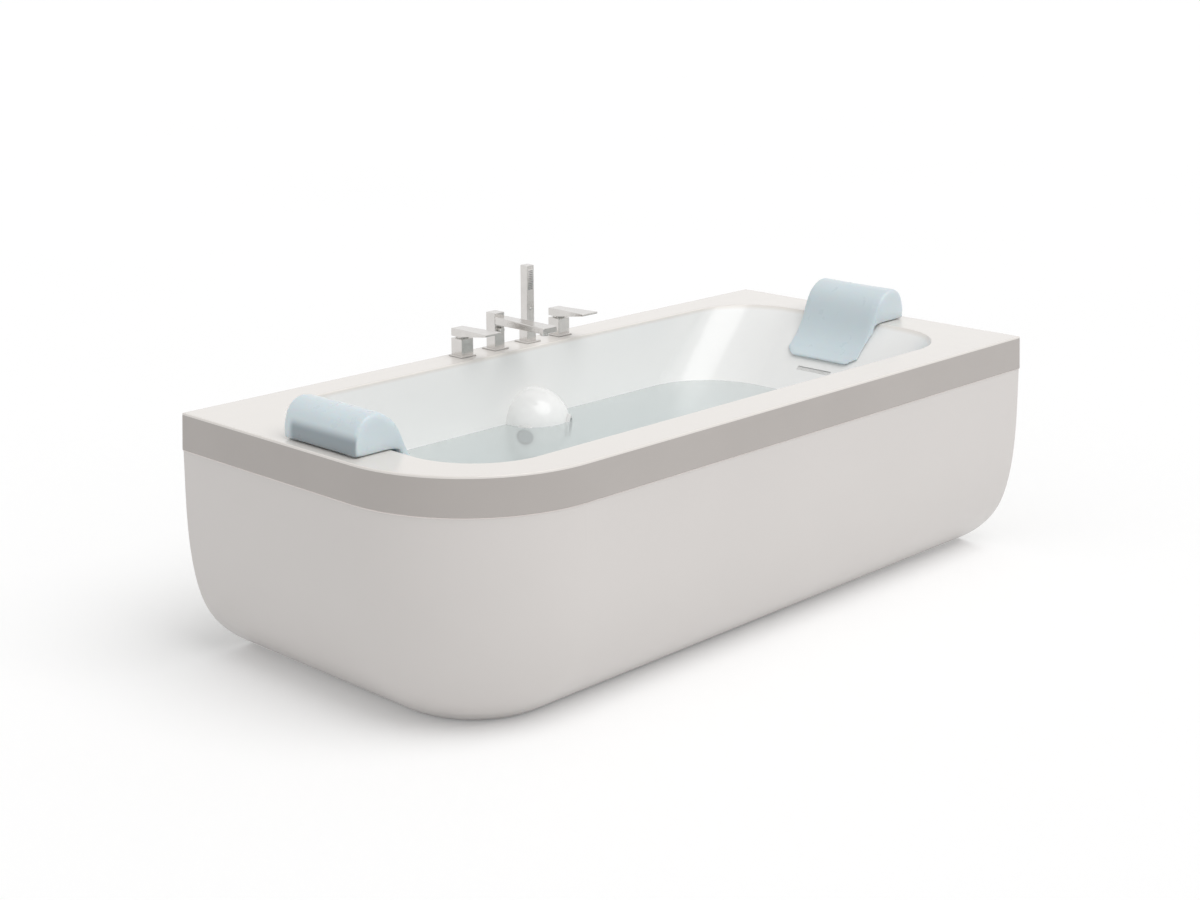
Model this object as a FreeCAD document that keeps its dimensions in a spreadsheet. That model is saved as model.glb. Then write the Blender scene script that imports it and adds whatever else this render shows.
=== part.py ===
import FreeCAD, Part
import math
import os

from FreeCAD import Placement, Rotation, Vector

# Jetted bathtub for a corner, in millimetres. Origin on the floor under the middle of the tub,
# +X towards the right end (wall side), +Y towards the back wall, +Z up.

doc = FreeCAD.newDocument("jetted_bathtub")

# ---------------------------------------------------------------- driving dimensions
sheet = doc.addObject("Spreadsheet::Sheet", "Dim")
row_count = 0


def define(alias, value, note):
    """One named dimension in the sheet, as a plain number with its meaning beside it."""
    global row_count
    row_count += 1
    sheet.set("A%d" % row_count, note)
    sheet.set("B%d" % row_count, str(value))
    sheet.setAlias("B%d" % row_count, alias)


define("tub_length", 1900, "overall length")
define("tub_width", 900, "overall width")
define("rim_top", 570, "height of the rim")
define("rim_thick", 5, "thickness of the rim plate")
define("corner_radius", 330, "plan radius of the front left corner")
define("band_bottom", 488, "lower edge of the band under the rim")
define("band_thick", 8, "thickness of the band")
define("band_draft", 4, "outward lean of the band over its height")
define("panel_thick", 5, "thickness of the skirt panel")
define("well_half_length", 830, "half length of the basin opening")
define("well_front", -346, "front edge of the basin opening")
define("well_back", 361, "back edge of the basin opening")
define("well_floor", 140, "height of the basin floor")
define("wall_thick", 7, "wall of the basin, measured level")
define("rim_round", 7, "rounding where the rim turns into the basin")
define("dome_radius", 88, "outer radius of the dome on the back wall")
define("dome_y", 335, "centre of the dome")
define("dome_z", 385, "centre of the dome")
define("rail_side", 30, "side of the square frame tube")
define("rail_wall", 2, "wall of the square frame tube")
define("rail_y", 200, "distance of the long rails from the middle")
define("rail_bottom", 80, "underside of the long rails")
define("rail_half_length", 853, "half length of the long rails")
define("post_side", 20, "side of the posts")
define("post_x", 843, "distance of the posts from the middle")
define("cross_x", 250, "distance of the cross rails from the middle")
define("foot_x", 620, "distance of the feet from the middle")
define("foot_rod_radius", 6, "radius of the foot's rod")
define("foot_pad_radius", 26, "radius of the foot's pad")
define("foot_pad_height", 12, "height of the foot's pad")
define("foot_rod_top", 98, "top of the foot's rod")
define("nut_height", 16, "height of the nut under the rail")
define("mixer_y", 413, "line of the mixer's holes")
define("mixer_pitch", 110, "distance between the mixer's holes")
define("plate_side", 46, "side of the square base plates")
define("plate_thick", 4, "thickness of the base plates")
define("valve_side", 38, "side of the valve bodies")
define("valve_height", 41, "height of the valve bodies above their plate")
define("tail_radius", 12, "radius of the threaded tails under the deck")
define("tail_length", 60, "length of the tails under the rim top")
define("spout_reach", 175, "reach of the spout in front of its column")
define("spout_column", 32, "side of the spout's column")
define("spout_height", 92, "height of the spout above the rim")
define("stick_side", 24, "side of the hand shower")
define("stick_top", 764, "top of the hand shower")
define("holder_side", 30, "side of the hand shower's holder")
define("holder_top", 607, "top of the holder")
define("hose_radius", 6, "radius of the shower hose")
define("lever_length", 130, "length of the levers")
define("pump_x", -755, "place of the pump along the tub")
define("pump_axis", 150, "height of the pump's shaft")
define("motor_radius", 65, "radius of the motor")
define("pipe_radius", 25, "outer radius of the water pipes")
define("pipe_bore", 22.5, "inner radius of the water pipes")
define("drain_x", 0, "place of the drain along the tub")
define("drain_y", 60, "place of the drain across the tub")
define("drain_hole", 26, "radius of the drain hole")
define("waste_radius", 20, "outer radius of the waste outlet")
define("slot_height", 450, "height of the overflow slot")
define("slot_length", 106, "length of the overflow slot")
define("headrest_width", 233, "width of a headrest")
doc.recompute()


def dim(alias):
    """A dimension of the sheet, for shapes that are worked out here."""
    return float(sheet.get(alias))


LENGTH = dim("tub_length")
WIDTH = dim("tub_width")
RIM = dim("rim_top")
SIDES = (("left", -1), ("right", 1))
subparts = []


# ---------------------------------------------------------------- small helpers
def keep(obj, label):
    """Marks an object as a sub-part under the name that its file gets."""
    obj.Label = label
    subparts.append(obj)
    return obj


def bind(obj, **expressions):
    """Binds properties to the sheet; a double underscore stands for a dot."""
    for prop, expression in expressions.items():
        obj.setExpression(prop.replace("__", "."), expression)
    return obj


def place(obj, x, y, z):
    """Binds an object's place to the sheet."""
    obj.setExpression("Placement.Base.x", x)
    obj.setExpression("Placement.Base.y", y)
    obj.setExpression("Placement.Base.z", z)
    return obj


def box(name, length, width, height, x, y, z):
    """A box from its lowest corner, all sizes given as expressions."""
    obj = doc.addObject("Part::Box", name)
    bind(obj, Length=length, Width=width, Height=height)
    return place(obj, x, y, z)


def cylinder(name, radius, height, x, y, z):
    """An upright cylinder, all sizes given as expressions."""
    obj = doc.addObject("Part::Cylinder", name)
    bind(obj, Radius=radius, Height=height)
    return place(obj, x, y, z)


def cut(name, base, tool):
    """The base without the tool."""
    obj = doc.addObject("Part::Cut", name)
    obj.Base = base
    obj.Tool = tool
    return obj


def fuse(name, shapes):
    """Several solids made one."""
    obj = doc.addObject("Part::MultiFuse", name)
    obj.Shapes = shapes
    obj.Refine = True
    return obj


def feature(name, shape):
    """A sub-part whose shape is worked out from the sheet's numbers."""
    obj = doc.addObject("Part::Feature", name)
    obj.Shape = shape
    obj.Placement = shape.Placement
    return keep(obj, name)


def ring(radius, bore, low, high):
    """A plain ring on the Z axis."""
    body = Part.makeCylinder(radius, high - low, Vector(0, 0, low))
    return body.cut(Part.makeCylinder(bore, high - low, Vector(0, 0, low)))


def turned(points):
    """A solid of revolution about Z from (radius, height) points."""
    outline = [Vector(r, 0, z) for r, z in points]
    face = Part.Face(Part.makePolygon(outline + outline[:1]))
    return face.revolve(Vector(), Vector(0, 0, 1), 360)


def aimed(shape, origin, direction):
    """Turns a shape made on +Z so that it points along a direction from an origin."""
    result = shape.copy()
    result.Placement = Placement(origin, Rotation(Vector(0, 0, 1), direction))
    return result


def bent_path(points, radius):
    """A wire of straight runs joined by tangent arcs."""
    edges = []
    start = points[0]
    for before, corner, after in zip(points, points[1:], points[2:]):
        inward = (before - corner).normalize()
        outward = (after - corner).normalize()
        turn = math.pi - inward.getAngle(outward)
        reach = radius * math.tan(turn / 2)
        first = corner + inward * reach
        last = corner + outward * reach
        bisector = (inward + outward).normalize()
        middle = corner + bisector * (radius / math.cos(turn / 2) - radius)
        edges.append(Part.LineSegment(start, first).toShape())
        edges.append(Part.Arc(first, middle, last).toShape())
        start = last
    edges.append(Part.LineSegment(start, points[-1]).toShape())
    return Part.Wire(edges)


def swept(points, radius, bend):
    """A round bar along a bent path."""
    path = bent_path(points, bend)
    circle = Part.Circle(points[0], points[1] - points[0], radius)
    profile = Part.Wire([circle.toShape()])
    return path.makePipeShell([profile], True, False)


def pipe(points, radius, bore, bend):
    """A hollow pipe along a bent path."""
    return swept(points, radius, bend).cut(swept(points, bore, bend))


# ---------------------------------------------------------------- outlines of the tub
def corner_outline(inset, height, beyond=0.0):
    """Plan outline with the front left corner rounded; beyond pushes out the two wall sides."""
    left = -LENGTH / 2 + inset
    front = -WIDTH / 2 + inset
    right = LENGTH / 2 + beyond
    back = WIDTH / 2 + beyond
    radius = dim("corner_radius") - inset
    diagonal = radius * (1 - math.sqrt(0.5))
    start = Vector(left, front + radius, height)
    middle = Vector(left + diagonal, front + diagonal, height)
    end = Vector(left + radius, front, height)
    corners = [end, Vector(right, front, height), Vector(right, back, height)]
    corners += [Vector(left, back, height), start]
    edges = [Part.Arc(start, middle, end).toShape()]
    for one, two in zip(corners, corners[1:]):
        edges.append(Part.LineSegment(one, two).toShape())
    return Part.Wire(edges)


def well_outline(half_length, front, back, radius, height):
    """Rounded rectangle of the basin at one height."""
    edges = []
    diagonal = radius * (1 - math.sqrt(0.5))
    corners = ((1, front), (1, back), (-1, back), (-1, front))
    starts = []
    for side, y in corners:
        x = side * half_length
        sign = 1 if y == front else -1
        along_y = Vector(x, y + sign * radius, height)
        along_x = Vector(x - side * radius, y, height)
        middle = Vector(x - side * diagonal, y + sign * diagonal, height)
        first_on_x = (side == 1) == (y == front)
        pair = (along_x, along_y) if first_on_x else (along_y, along_x)
        starts.append((pair[0], middle, pair[1]))
    for index, (start, middle, end) in enumerate(starts):
        following = starts[(index + 1) % 4][0]
        edges.append(Part.Arc(start, middle, end).toShape())
        edges.append(Part.LineSegment(end, following).toShape())
    return Part.Wire(edges)


# Basin levels: height, half length, front, back, plan radius of the corners.
TOP = RIM + 1
FLOOR = dim("well_floor")
HALF = dim("well_half_length")
FRONT = dim("well_front")
BACK = dim("well_back")
WELL_LEVELS = (
    (TOP, HALF + 1, FRONT, BACK, 175),
    (455, 700, FRONT + 11, BACK - 11, 185),
    (330, 585, FRONT + 24, BACK - 24, 190),
    (220, 492, FRONT + 40, BACK - 40, 180),
    (165, 440, FRONT + 58, BACK - 58, 165),
    (FLOOR + 4, 392, FRONT + 84, BACK - 84, 140),
    (FLOOR, 345, FRONT + 112, BACK - 112, 115),
)


def well_solid(grow, grow_end, drop):
    """The basin's inside, or its outside when grown by the wall."""
    wires = []
    for height, half, front, back, radius in WELL_LEVELS:
        low = height - drop if height < 200 else height
        wires.append(well_outline(half + grow_end, front - grow, back + grow, radius + grow, low))
    return Part.makeLoft(wires, True, False)


DOME = Vector(0, dim("dome_y"), dim("dome_z"))
DOME_R = dim("dome_radius")
JET_AIMS = {
    "left": Vector(-0.85, -0.50, -0.15).normalize(),
    "right": Vector(0.55, -0.82, -0.05).normalize(),
}
JET_SEAT = DOME_R - 4.5
JET_HOLE = 26
JET_RING = 30


def make_basin():
    """Acrylic basin: rim plate, well, dome, and all its holes."""
    rim = Part.Face(corner_outline(4, RIM - dim("rim_thick"))).extrude(Vector(0, 0, dim("rim_thick")))
    rounding = [e for e in rim.Edges if e.BoundBox.ZMin > RIM - 0.01 and keeps_roll(e)]
    rim = rim.makeFillet(3, rounding)
    outside = well_solid(dim("wall_thick"), dim("wall_thick") + 2, 6)
    above = Part.makeBox(3000, 2000, 100, Vector(-1500, -1000, RIM - 1))
    inside = well_solid(0, 0, 0)
    dome = Part.makeSphere(DOME_R, DOME)
    shell = rim.fuse(outside.cut(above)).cut(inside.cut(dome))
    edge = [e for e in shell.Edges if e.BoundBox.ZMin > RIM - 0.01 and is_well_edge(e)]
    shell = shell.makeFillet(dim("rim_round") - 3, edge)
    shell = shell.cut(Part.makeSphere(DOME_R - 8, DOME))
    for aim in JET_AIMS.values():
        hole = Part.makeCylinder(JET_HOLE, DOME_R, Vector(), Vector(0, 0, 1))
        seat = Part.makeCylinder(JET_RING + 0.3, 20, Vector(0, 0, JET_SEAT))
        shell = shell.cut(aimed(hole.fuse(seat), DOME, aim))
    drain = Vector(dim("drain_x"), dim("drain_y"), FLOOR - 20)
    shell = shell.cut(Part.makeCylinder(dim("drain_hole"), 40, drain))
    for index in range(4):
        x = (index - 1.5) * dim("mixer_pitch")
        centre = Vector(x, dim("mixer_y"), RIM - 20)
        shell = shell.cut(Part.makeCylinder(dim("tail_radius") + 1, 40, centre))
    return shell


def keeps_roll(edge):
    """True for the rim edges that are seen: the front and left sides and their corner."""
    size = edge.BoundBox
    return size.YMin < -WIDTH / 2 + 5 or size.XMin < -LENGTH / 2 + 5


def is_well_edge(edge):
    """True for the edge where the rim turns into the well."""
    size = edge.BoundBox
    inner = abs(size.XMin) < HALF + 4 and abs(size.XMax) < HALF + 4
    return inner and size.YMin > FRONT - 4 and size.YMax < BACK + 4


# ---------------------------------------------------------------- skirt and band
def make_band():
    """Taupe band along the left side, the rounded corner and the front."""
    low = dim("band_bottom")
    high = RIM - dim("rim_thick")
    draft = dim("band_draft")
    wall = dim("band_thick")
    outer = Part.makeLoft([corner_outline(0, low), corner_outline(draft, high)], True, True)
    inner_wires = [corner_outline(wall, low, 20), corner_outline(draft + wall, high, 20)]
    return outer.cut(Part.makeLoft(inner_wires, True, True))


# Skirt levels: height and how far the face stands in from the tub's outline.
PANEL_TOP = 486
PANEL_LEVELS = (
    (PANEL_TOP, 2.5),
    (330, 3),
    (277, 6),
    (222, 12.5),
    (166, 24.5),
    (106, 49),
    (60, 84),
    (25, 124),
    (4, 156),
)


def make_panel():
    """L-shaped skirt that stands upright at the top and draws in towards the floor."""
    wall = dim("panel_thick")
    outer = [corner_outline(inset, height) for height, inset in PANEL_LEVELS]
    inner = [corner_outline(inset + wall, height, 20) for height, inset in PANEL_LEVELS]
    return Part.makeLoft(outer, True, False).cut(Part.makeLoft(inner, True, False))


# ---------------------------------------------------------------- carrying frame
def square_tube(name, length, along, x, y, z, side="Dim.rail_side"):
    """A hollow square tube along X, Y or Z from its lowest corner."""
    sizes = {"X": (length, side, side), "Y": (side, length, side), "Z": (side, side, length)}
    bore = "%s - 2 * Dim.rail_wall" % side
    bores = {"X": (length, bore, bore), "Y": (bore, length, bore), "Z": (bore, bore, length)}
    shift = [("" if along == axis else " + Dim.rail_wall") for axis in "XYZ"]
    outer = box(name + "_outer", *sizes[along], x, y, z)
    inner = box(name + "_inner", *bores[along], x + shift[0], y + shift[1], z + shift[2])
    return cut(name, outer, inner)


def make_frame():
    """Two long rails, two cross rails under the floor and four posts up to the rim."""
    for place_name, sign in (("front", "-"), ("back", "")):
        y = "%sDim.rail_y - Dim.rail_side / 2" % sign
        rail = square_tube("rail_%s" % place_name, "2 * Dim.rail_half_length", "X",
                           "-Dim.rail_half_length", y, "Dim.rail_bottom")
        holes = []
        for side, mark in (("left", "-"), ("right", "")):
            name = "rail_%s_hole_%s" % (place_name, side)
            holes.append(cylinder(name, "Dim.foot_rod_radius + 1", "Dim.rail_side",
                                  "%sDim.foot_x" % mark, "%sDim.rail_y" % sign,
                                  "Dim.rail_bottom"))
        drilled = cut("rail_%s_drilled" % place_name, rail, fuse("rail_%s_holes" % place_name, holes))
        keep(drilled, "long_rail_%s" % place_name)
        for side, mark in (("left", "-"), ("right", "")):
            x = "%sDim.post_x - Dim.post_side / 2" % mark
            y = "%sDim.rail_y - Dim.post_side / 2" % sign
            height = "Dim.rim_top - Dim.rim_thick - Dim.rail_bottom - Dim.rail_side"
            post = square_tube("post_%s_%s_tube" % (place_name, side), height, "Z", x, y,
                               "Dim.rail_bottom + Dim.rail_side", "Dim.post_side")
            keep(post, "post_%s_%s" % (place_name, side))
    cross = "Dim.well_floor - 6 - Dim.rail_bottom - Dim.rail_side"
    for side, mark in (("left", "-"), ("right", "")):
        tube = square_tube("cross_%s" % side, "2 * Dim.rail_y + Dim.rail_side", "Y",
                           "%sDim.cross_x - (%s) / 2" % (mark, cross),
                           "-Dim.rail_y - Dim.rail_side / 2",
                           "Dim.rail_bottom + Dim.rail_side", cross)
        keep(tube, "cross_rail_%s" % side)


def hexagon(across, height, bore):
    """A plain hexagon nut on the floor plane."""
    radius = across / math.sqrt(3)
    points = [Vector(radius * math.cos(k * math.pi / 3), radius * math.sin(k * math.pi / 3), 0)
              for k in range(6)]
    body = Part.Face(Part.makePolygon(points + points[:1])).extrude(Vector(0, 0, height))
    return body.cut(Part.makeCylinder(bore, height))


def make_feet():
    """Four screwed feet, and the nuts that hold them under the rails."""
    nuts = []
    for place_name, sign in (("front", -1), ("back", 1)):
        for side, mark in SIDES:
            name = "foot_%s_%s" % (place_name, side)
            x = "%sDim.foot_x" % ("-" if mark < 0 else "")
            y = "%sDim.rail_y" % ("-" if sign < 0 else "")
            pad = cylinder(name + "_pad", "Dim.foot_pad_radius", "Dim.foot_pad_height", x, y, "0")
            rod = cylinder(name + "_rod", "Dim.foot_rod_radius",
                           "Dim.foot_rod_top - Dim.foot_pad_height", x, y, "Dim.foot_pad_height")
            keep(fuse(name + "_whole", [pad, rod]), name)
            nut = hexagon(19, dim("nut_height"), dim("foot_rod_radius") + 0.08)
            low = dim("rail_bottom") - dim("nut_height")
            nut.translate(Vector(mark * dim("foot_x"), sign * dim("rail_y"), low))
            nuts.append(nut)
    feature("foot_nuts", Part.makeCompound(nuts))


# ---------------------------------------------------------------- pump
PUMP = Vector(dim("pump_x"), 0, dim("pump_axis"))
MOTOR = dim("motor_radius")
MOTOR_LOW = -40
MOTOR_HIGH = 150
WET_LOW = -125
WET_RADIUS = 60
BORE = dim("pipe_bore")
PIPE = dim("pipe_radius")


def on_pump(shape):
    """Turns a shape made on +Z onto the pump's shaft line, +Z becoming +Y."""
    return aimed(shape, PUMP, Vector(0, 1, 0))


def make_pump():
    """Pump: a base, a motor with fins, a wet end, and the shaft with its impeller."""
    motor = Part.makeCylinder(MOTOR - 6, MOTOR_HIGH - MOTOR_LOW, Vector(0, 0, MOTOR_LOW))
    fins = []
    for k in range(11):
        low = MOTOR_LOW + 18 + k * 9
        fins.append(Part.makeCylinder(MOTOR, 4, Vector(0, 0, low)))
    cap = Part.makeCylinder(MOTOR, 35, Vector(0, 0, MOTOR_HIGH - 35))
    bearing = Part.makeCylinder(8.05, 175, Vector(0, 0, MOTOR_LOW - 1))
    terminal = Part.makeBox(40, 40, 50, Vector(MOTOR - 25, -20, 100))
    motor = motor.multiFuse(fins + [cap, terminal]).cut(bearing)
    feature("pump_motor", on_pump(motor))

    outside = Part.makeCylinder(WET_RADIUS, MOTOR_LOW - WET_LOW, Vector(0, 0, WET_LOW))
    flange = Part.makeCylinder(WET_RADIUS + 6, 10, Vector(0, 0, MOTOR_LOW - 10))
    chamber = Part.makeCylinder(WET_RADIUS - 6, MOTOR_LOW - WET_LOW - 16, Vector(0, 0, WET_LOW + 8))
    seal_bore = Part.makeCylinder(8.05, 12, Vector(0, 0, MOTOR_LOW - 10))
    inlet = Part.makeCylinder(PIPE + 4, 20, Vector(0, 0, WET_LOW - 18))
    inlet_bore = Part.makeCylinder(PIPE, 60, Vector(0, 0, WET_LOW - 30))
    wet = outside.multiFuse([flange, inlet]).cut(chamber).cut(seal_bore).cut(inlet_bore)
    wet = on_pump(wet)
    outlet_y = (WET_LOW + MOTOR_LOW) / 2
    outlet_base = PUMP + Vector(0, outlet_y, WET_RADIUS - 10)
    neck = Part.makeCylinder(PIPE + 4, 40, outlet_base)
    neck_bore = Part.makeCylinder(PIPE, 60, outlet_base)
    chamber_here = on_pump(chamber)
    wet = wet.fuse(neck.cut(chamber_here)).cut(neck_bore)
    feature("pump_wet_end", wet)

    plate_low = dim("rail_bottom") - 8
    span = 2 * dim("rail_y") + dim("rail_side")
    plate = Part.makeBox(150, span, 8, Vector(PUMP.x - 75, -span / 2, plate_low))
    rise = PUMP.z - dim("rail_bottom") - MOTOR * 0.6
    saddles = [Part.makeBox(90, 22, rise, Vector(PUMP.x - 45, y, dim("rail_bottom"))) for y in (-15, 120)]
    clearance = on_pump(Part.makeCylinder(MOTOR + 0.2, 400, Vector(0, 0, -200)))
    feature("pump_base", plate.multiFuse(saddles).cut(clearance))

    shaft = Part.makeCylinder(8, 190, Vector(0, 0, MOTOR_LOW - 50))
    feature("pump_shaft", on_pump(shaft))
    disc = ring(46, 8, MOTOR_LOW - 34, MOTOR_LOW - 30)
    vanes = []
    for k in range(6):
        vane = Part.makeBox(34, 3, 14, Vector(9.5, -1.5, MOTOR_LOW - 48))
        vane.rotate(Vector(), Vector(0, 0, 1), 60 * k)
        vanes.append(vane)
    hub = ring(12, 8, MOTOR_LOW - 48, MOTOR_LOW - 30)
    feature("pump_impeller", on_pump(disc.multiFuse(vanes + [hub])))


# ---------------------------------------------------------------- the basin's inner surface
WELL = well_solid(0, 0, 0)
MIDDLE_Y = (dim("well_front") + dim("well_back")) / 2


def well_reach(origin, direction):
    """The point where a line from inside the basin meets its wall."""
    line = Part.makeLine(origin, origin + direction * 2000)
    inside = line.common(WELL)
    ends = [vertex.Point for vertex in inside.Vertexes]
    return max(ends, key=lambda point: (point - origin).Length)


def wall_frame(origin, direction, up):
    """A point of the basin's wall and the wall's normal there, pointing into the basin."""
    side = direction.cross(up).normalize()
    point = well_reach(origin, direction)
    higher = well_reach(origin + up * 6, direction)
    beside = well_reach(origin + side * 6, direction)
    normal = (higher - point).cross(beside - point).normalize()
    if normal.dot(direction) > 0:
        normal = normal * -1
    return point, normal


SUCTION_X = -200
SUCTION_Z = 285
SUCTION_HOLE = 38
SUCTION_AT, SUCTION_AIM = wall_frame(Vector(SUCTION_X, 0, SUCTION_Z), Vector(0, -1, 0),
                                     Vector(0, 0, 1))
SLOT_AT, SLOT_AIM = wall_frame(Vector(0, MIDDLE_Y, dim("slot_height")), Vector(1, 0, 0),
                               Vector(0, 0, 1))
SLOT_LENGTH = dim("slot_length")


def on_slope(shape):
    """Turns a shape made with +Z as the wall's normal and +Y level onto the right backrest."""
    level = Vector(0, 1, 0)
    across = level.cross(SLOT_AIM)
    result = shape.copy()
    result.Placement = Placement(SLOT_AT, Rotation(across, level, SLOT_AIM, "ZYX"))
    return result


def slab(length, width, low, high):
    """A box centred on the Z axis; its length lies along Y."""
    return Part.makeBox(width, length, high - low, Vector(-width / 2, -length / 2, low))


def finish_basin():
    """The basin with the holes of the suction fitting and the overflow slot."""
    shell = make_basin()
    hole = Part.makeCylinder(SUCTION_HOLE, 60, Vector(0, 0, -30))
    shell = shell.cut(aimed(hole, SUCTION_AT, SUCTION_AIM))
    return shell.cut(on_slope(slab(SLOT_LENGTH, 12, -30, 30)))


# ---------------------------------------------------------------- water and air pipes
PIPE_BEND = 45
SUCTION_BEND = 36
PIPE_Y = 400
PIPE_NEAR_Y = 362
PIPE_HIGH = 300
PIPE_LOW = 250
PIPE_TURN = 70
INLET = PUMP + Vector(0, WET_LOW - 14, 0)
OUTLET = PUMP + Vector(0, (WET_LOW + MOTOR_LOW) / 2, WET_RADIUS + 18)


def make_suction():
    """Suction fitting in the front wall: body, slotted grille and the pipe to the pump."""
    tube = ring(SUCTION_HOLE - 0.3, SUCTION_HOLE - 4, -42, -1)
    flange = ring(48, SUCTION_HOLE - 4, -20, -13)
    floor = ring(SUCTION_HOLE - 0.3, PIPE + 0.05, -42, -36)
    neck = ring(PIPE + 4, PIPE + 0.05, -47, -42)
    body = tube.multiFuse([flange, floor, neck])
    feature("suction_body", aimed(body, SUCTION_AT, SUCTION_AIM))

    disc = turned([(0, 2.4), (46, 2.4), (46, 3.6), (42, 6), (0, 6)])
    plug = ring(SUCTION_HOLE - 4.3, SUCTION_HOLE - 8, -10, 2.6)
    slots = []
    for k in range(-4, 5):
        half = math.sqrt(38 ** 2 - (k * 8) ** 2)
        slots.append(Part.makeBox(2 * half, 3.6, 10, Vector(-half, k * 8 - 1.8, 0)))
    grille = disc.fuse(plug).cut(slots[0].multiFuse(slots[1:]))
    feature("suction_grille", aimed(grille, SUCTION_AT, SUCTION_AIM))

    end = SUCTION_AT - SUCTION_AIM * 44
    elbow = SUCTION_AT - SUCTION_AIM * 84
    points = [INLET, Vector(INLET.x, -325, INLET.z), Vector(-520, elbow.y + 20, elbow.z), elbow, end]
    feature("suction_pipe", pipe(points, PIPE, BORE, SUCTION_BEND))


def make_pressure():
    """Pressure pipe behind the back wall, the manifold in the dome and its air line."""
    points = [OUTLET, Vector(OUTLET.x, OUTLET.y, PIPE_HIGH), Vector(OUTLET.x, PIPE_NEAR_Y, PIPE_HIGH),
              Vector(-PIPE_TURN, PIPE_NEAR_Y, PIPE_LOW), Vector(DOME.x, PIPE_Y, PIPE_LOW),
              Vector(DOME.x, PIPE_Y, DOME.z), Vector(DOME.x, DOME.y + 6, DOME.z)]
    feature("pressure_pipe", pipe(points, PIPE, BORE, PIPE_BEND))
    back = Vector(0, 1, 0)
    ball = Part.makeSphere(24, DOME)
    socket = Part.makeCylinder(PIPE + 4, 19, DOME, back)
    hollow = Part.makeCylinder(PIPE + 0.05, 20, DOME + back * 6, back)
    way = Part.makeCylinder(15, 12, DOME - back * 3, back)
    manifold = ball.fuse(socket)
    drills = [hollow, way]
    for aim in JET_AIMS.values():
        manifold = manifold.fuse(Part.makeCylinder(12, 30, DOME, aim))
        drills.append(Part.makeCylinder(8, 31, DOME, aim))
    manifold = manifold.cut(drills[0].multiFuse(drills[1:]))
    feature("jet_manifold", manifold)
    foot = DOME + Vector(0, 13, PIPE + 4.2)
    points = [foot, foot + Vector(0, 0, 26), foot + Vector(0, 38, 26), foot + Vector(0, 38, 62)]
    line = pipe(points, 7, 5, 12)
    cap = turned([(0, 0), (13, 0), (13, 16), (9, 20), (0, 20)])
    cap.translate(points[-1])
    feature("air_line", line.fuse(cap))


def make_jets():
    """The two swivelling jets of the dome: body, trim ring and nozzle."""
    for side, aim in JET_AIMS.items():
        body = ring(JET_HOLE - 0.3, JET_HOLE - 3, 30, JET_SEAT)
        floor = ring(JET_HOLE - 0.3, 8, 30, 34)
        feature("jet_body_%s" % side, aimed(body.fuse(floor), DOME, aim))
        trim = turned([(20.8, JET_SEAT), (JET_RING, JET_SEAT), (JET_RING, JET_SEAT + 4),
                       (JET_RING - 4, JET_SEAT + 7.5), (20.8, JET_SEAT + 7.5)])
        feature("jet_ring_%s" % side, aimed(trim, DOME, aim))
        ball = Part.makeSphere(JET_HOLE - 3.5, Vector(0, 0, JET_SEAT - 13))
        slice_ = Part.makeCylinder(40, 32, Vector(0, 0, JET_SEAT - 26))
        bore = Part.makeCylinder(7, 60, Vector(0, 0, JET_SEAT - 40))
        feature("jet_nozzle_%s" % side, aimed(ball.common(slice_).cut(bore), DOME, aim))


# ---------------------------------------------------------------- control box
LEAD_RADIUS = 3.5
LEAD_BEND = 28
LEAD_END_X = -620
LEAD_END_Z = 133


def make_control():
    """Control box on the back rail, with its cable gland, and the lead to the motor."""
    low = Vector(-700, dim("rail_y") + 16, 85)
    case = Part.makeBox(150, 60, 90, low)
    case = case.makeFillet(6, case.Edges)
    lid = Part.makeBox(158, 4, 98, low + Vector(-4, 60, -4))
    lid = lid.makeFillet(1.5, lid.Edges)
    gland = Part.makeCylinder(9, 24, Vector(0, 0, -2)).fuse(Part.makeCylinder(12, 7, Vector(0, 0, 3)))
    gland = gland.cut(Part.makeCylinder(4, 20, Vector(0, 0, 3)))
    gland = aimed(gland, low + Vector(0, 30, 40), Vector(-1, 0, 0))
    feature("control_box", case.multiFuse([lid, gland]))
    start = PUMP + Vector(MOTOR + 15, 125, 0)
    end = Vector(LEAD_END_X, low.y, LEAD_END_Z)
    sag = [start + Vector(25, 0, 0), start + Vector(45, 15, -22), end + Vector(-2, -46, -14),
           end + Vector(0, -18, 0)]
    feature("motor_lead", swept([start, *sag, end], LEAD_RADIUS, LEAD_BEND))


# ---------------------------------------------------------------- drain and overflow
DRAIN = Vector(dim("drain_x"), dim("drain_y"), FLOOR)
DRAIN_BODY_LOW = -62


def on_drain(shape):
    """Moves a shape made around Z = 0 to the drain, Z = 0 being the basin's floor."""
    result = shape.copy()
    result.translate(DRAIN)
    return result


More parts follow.
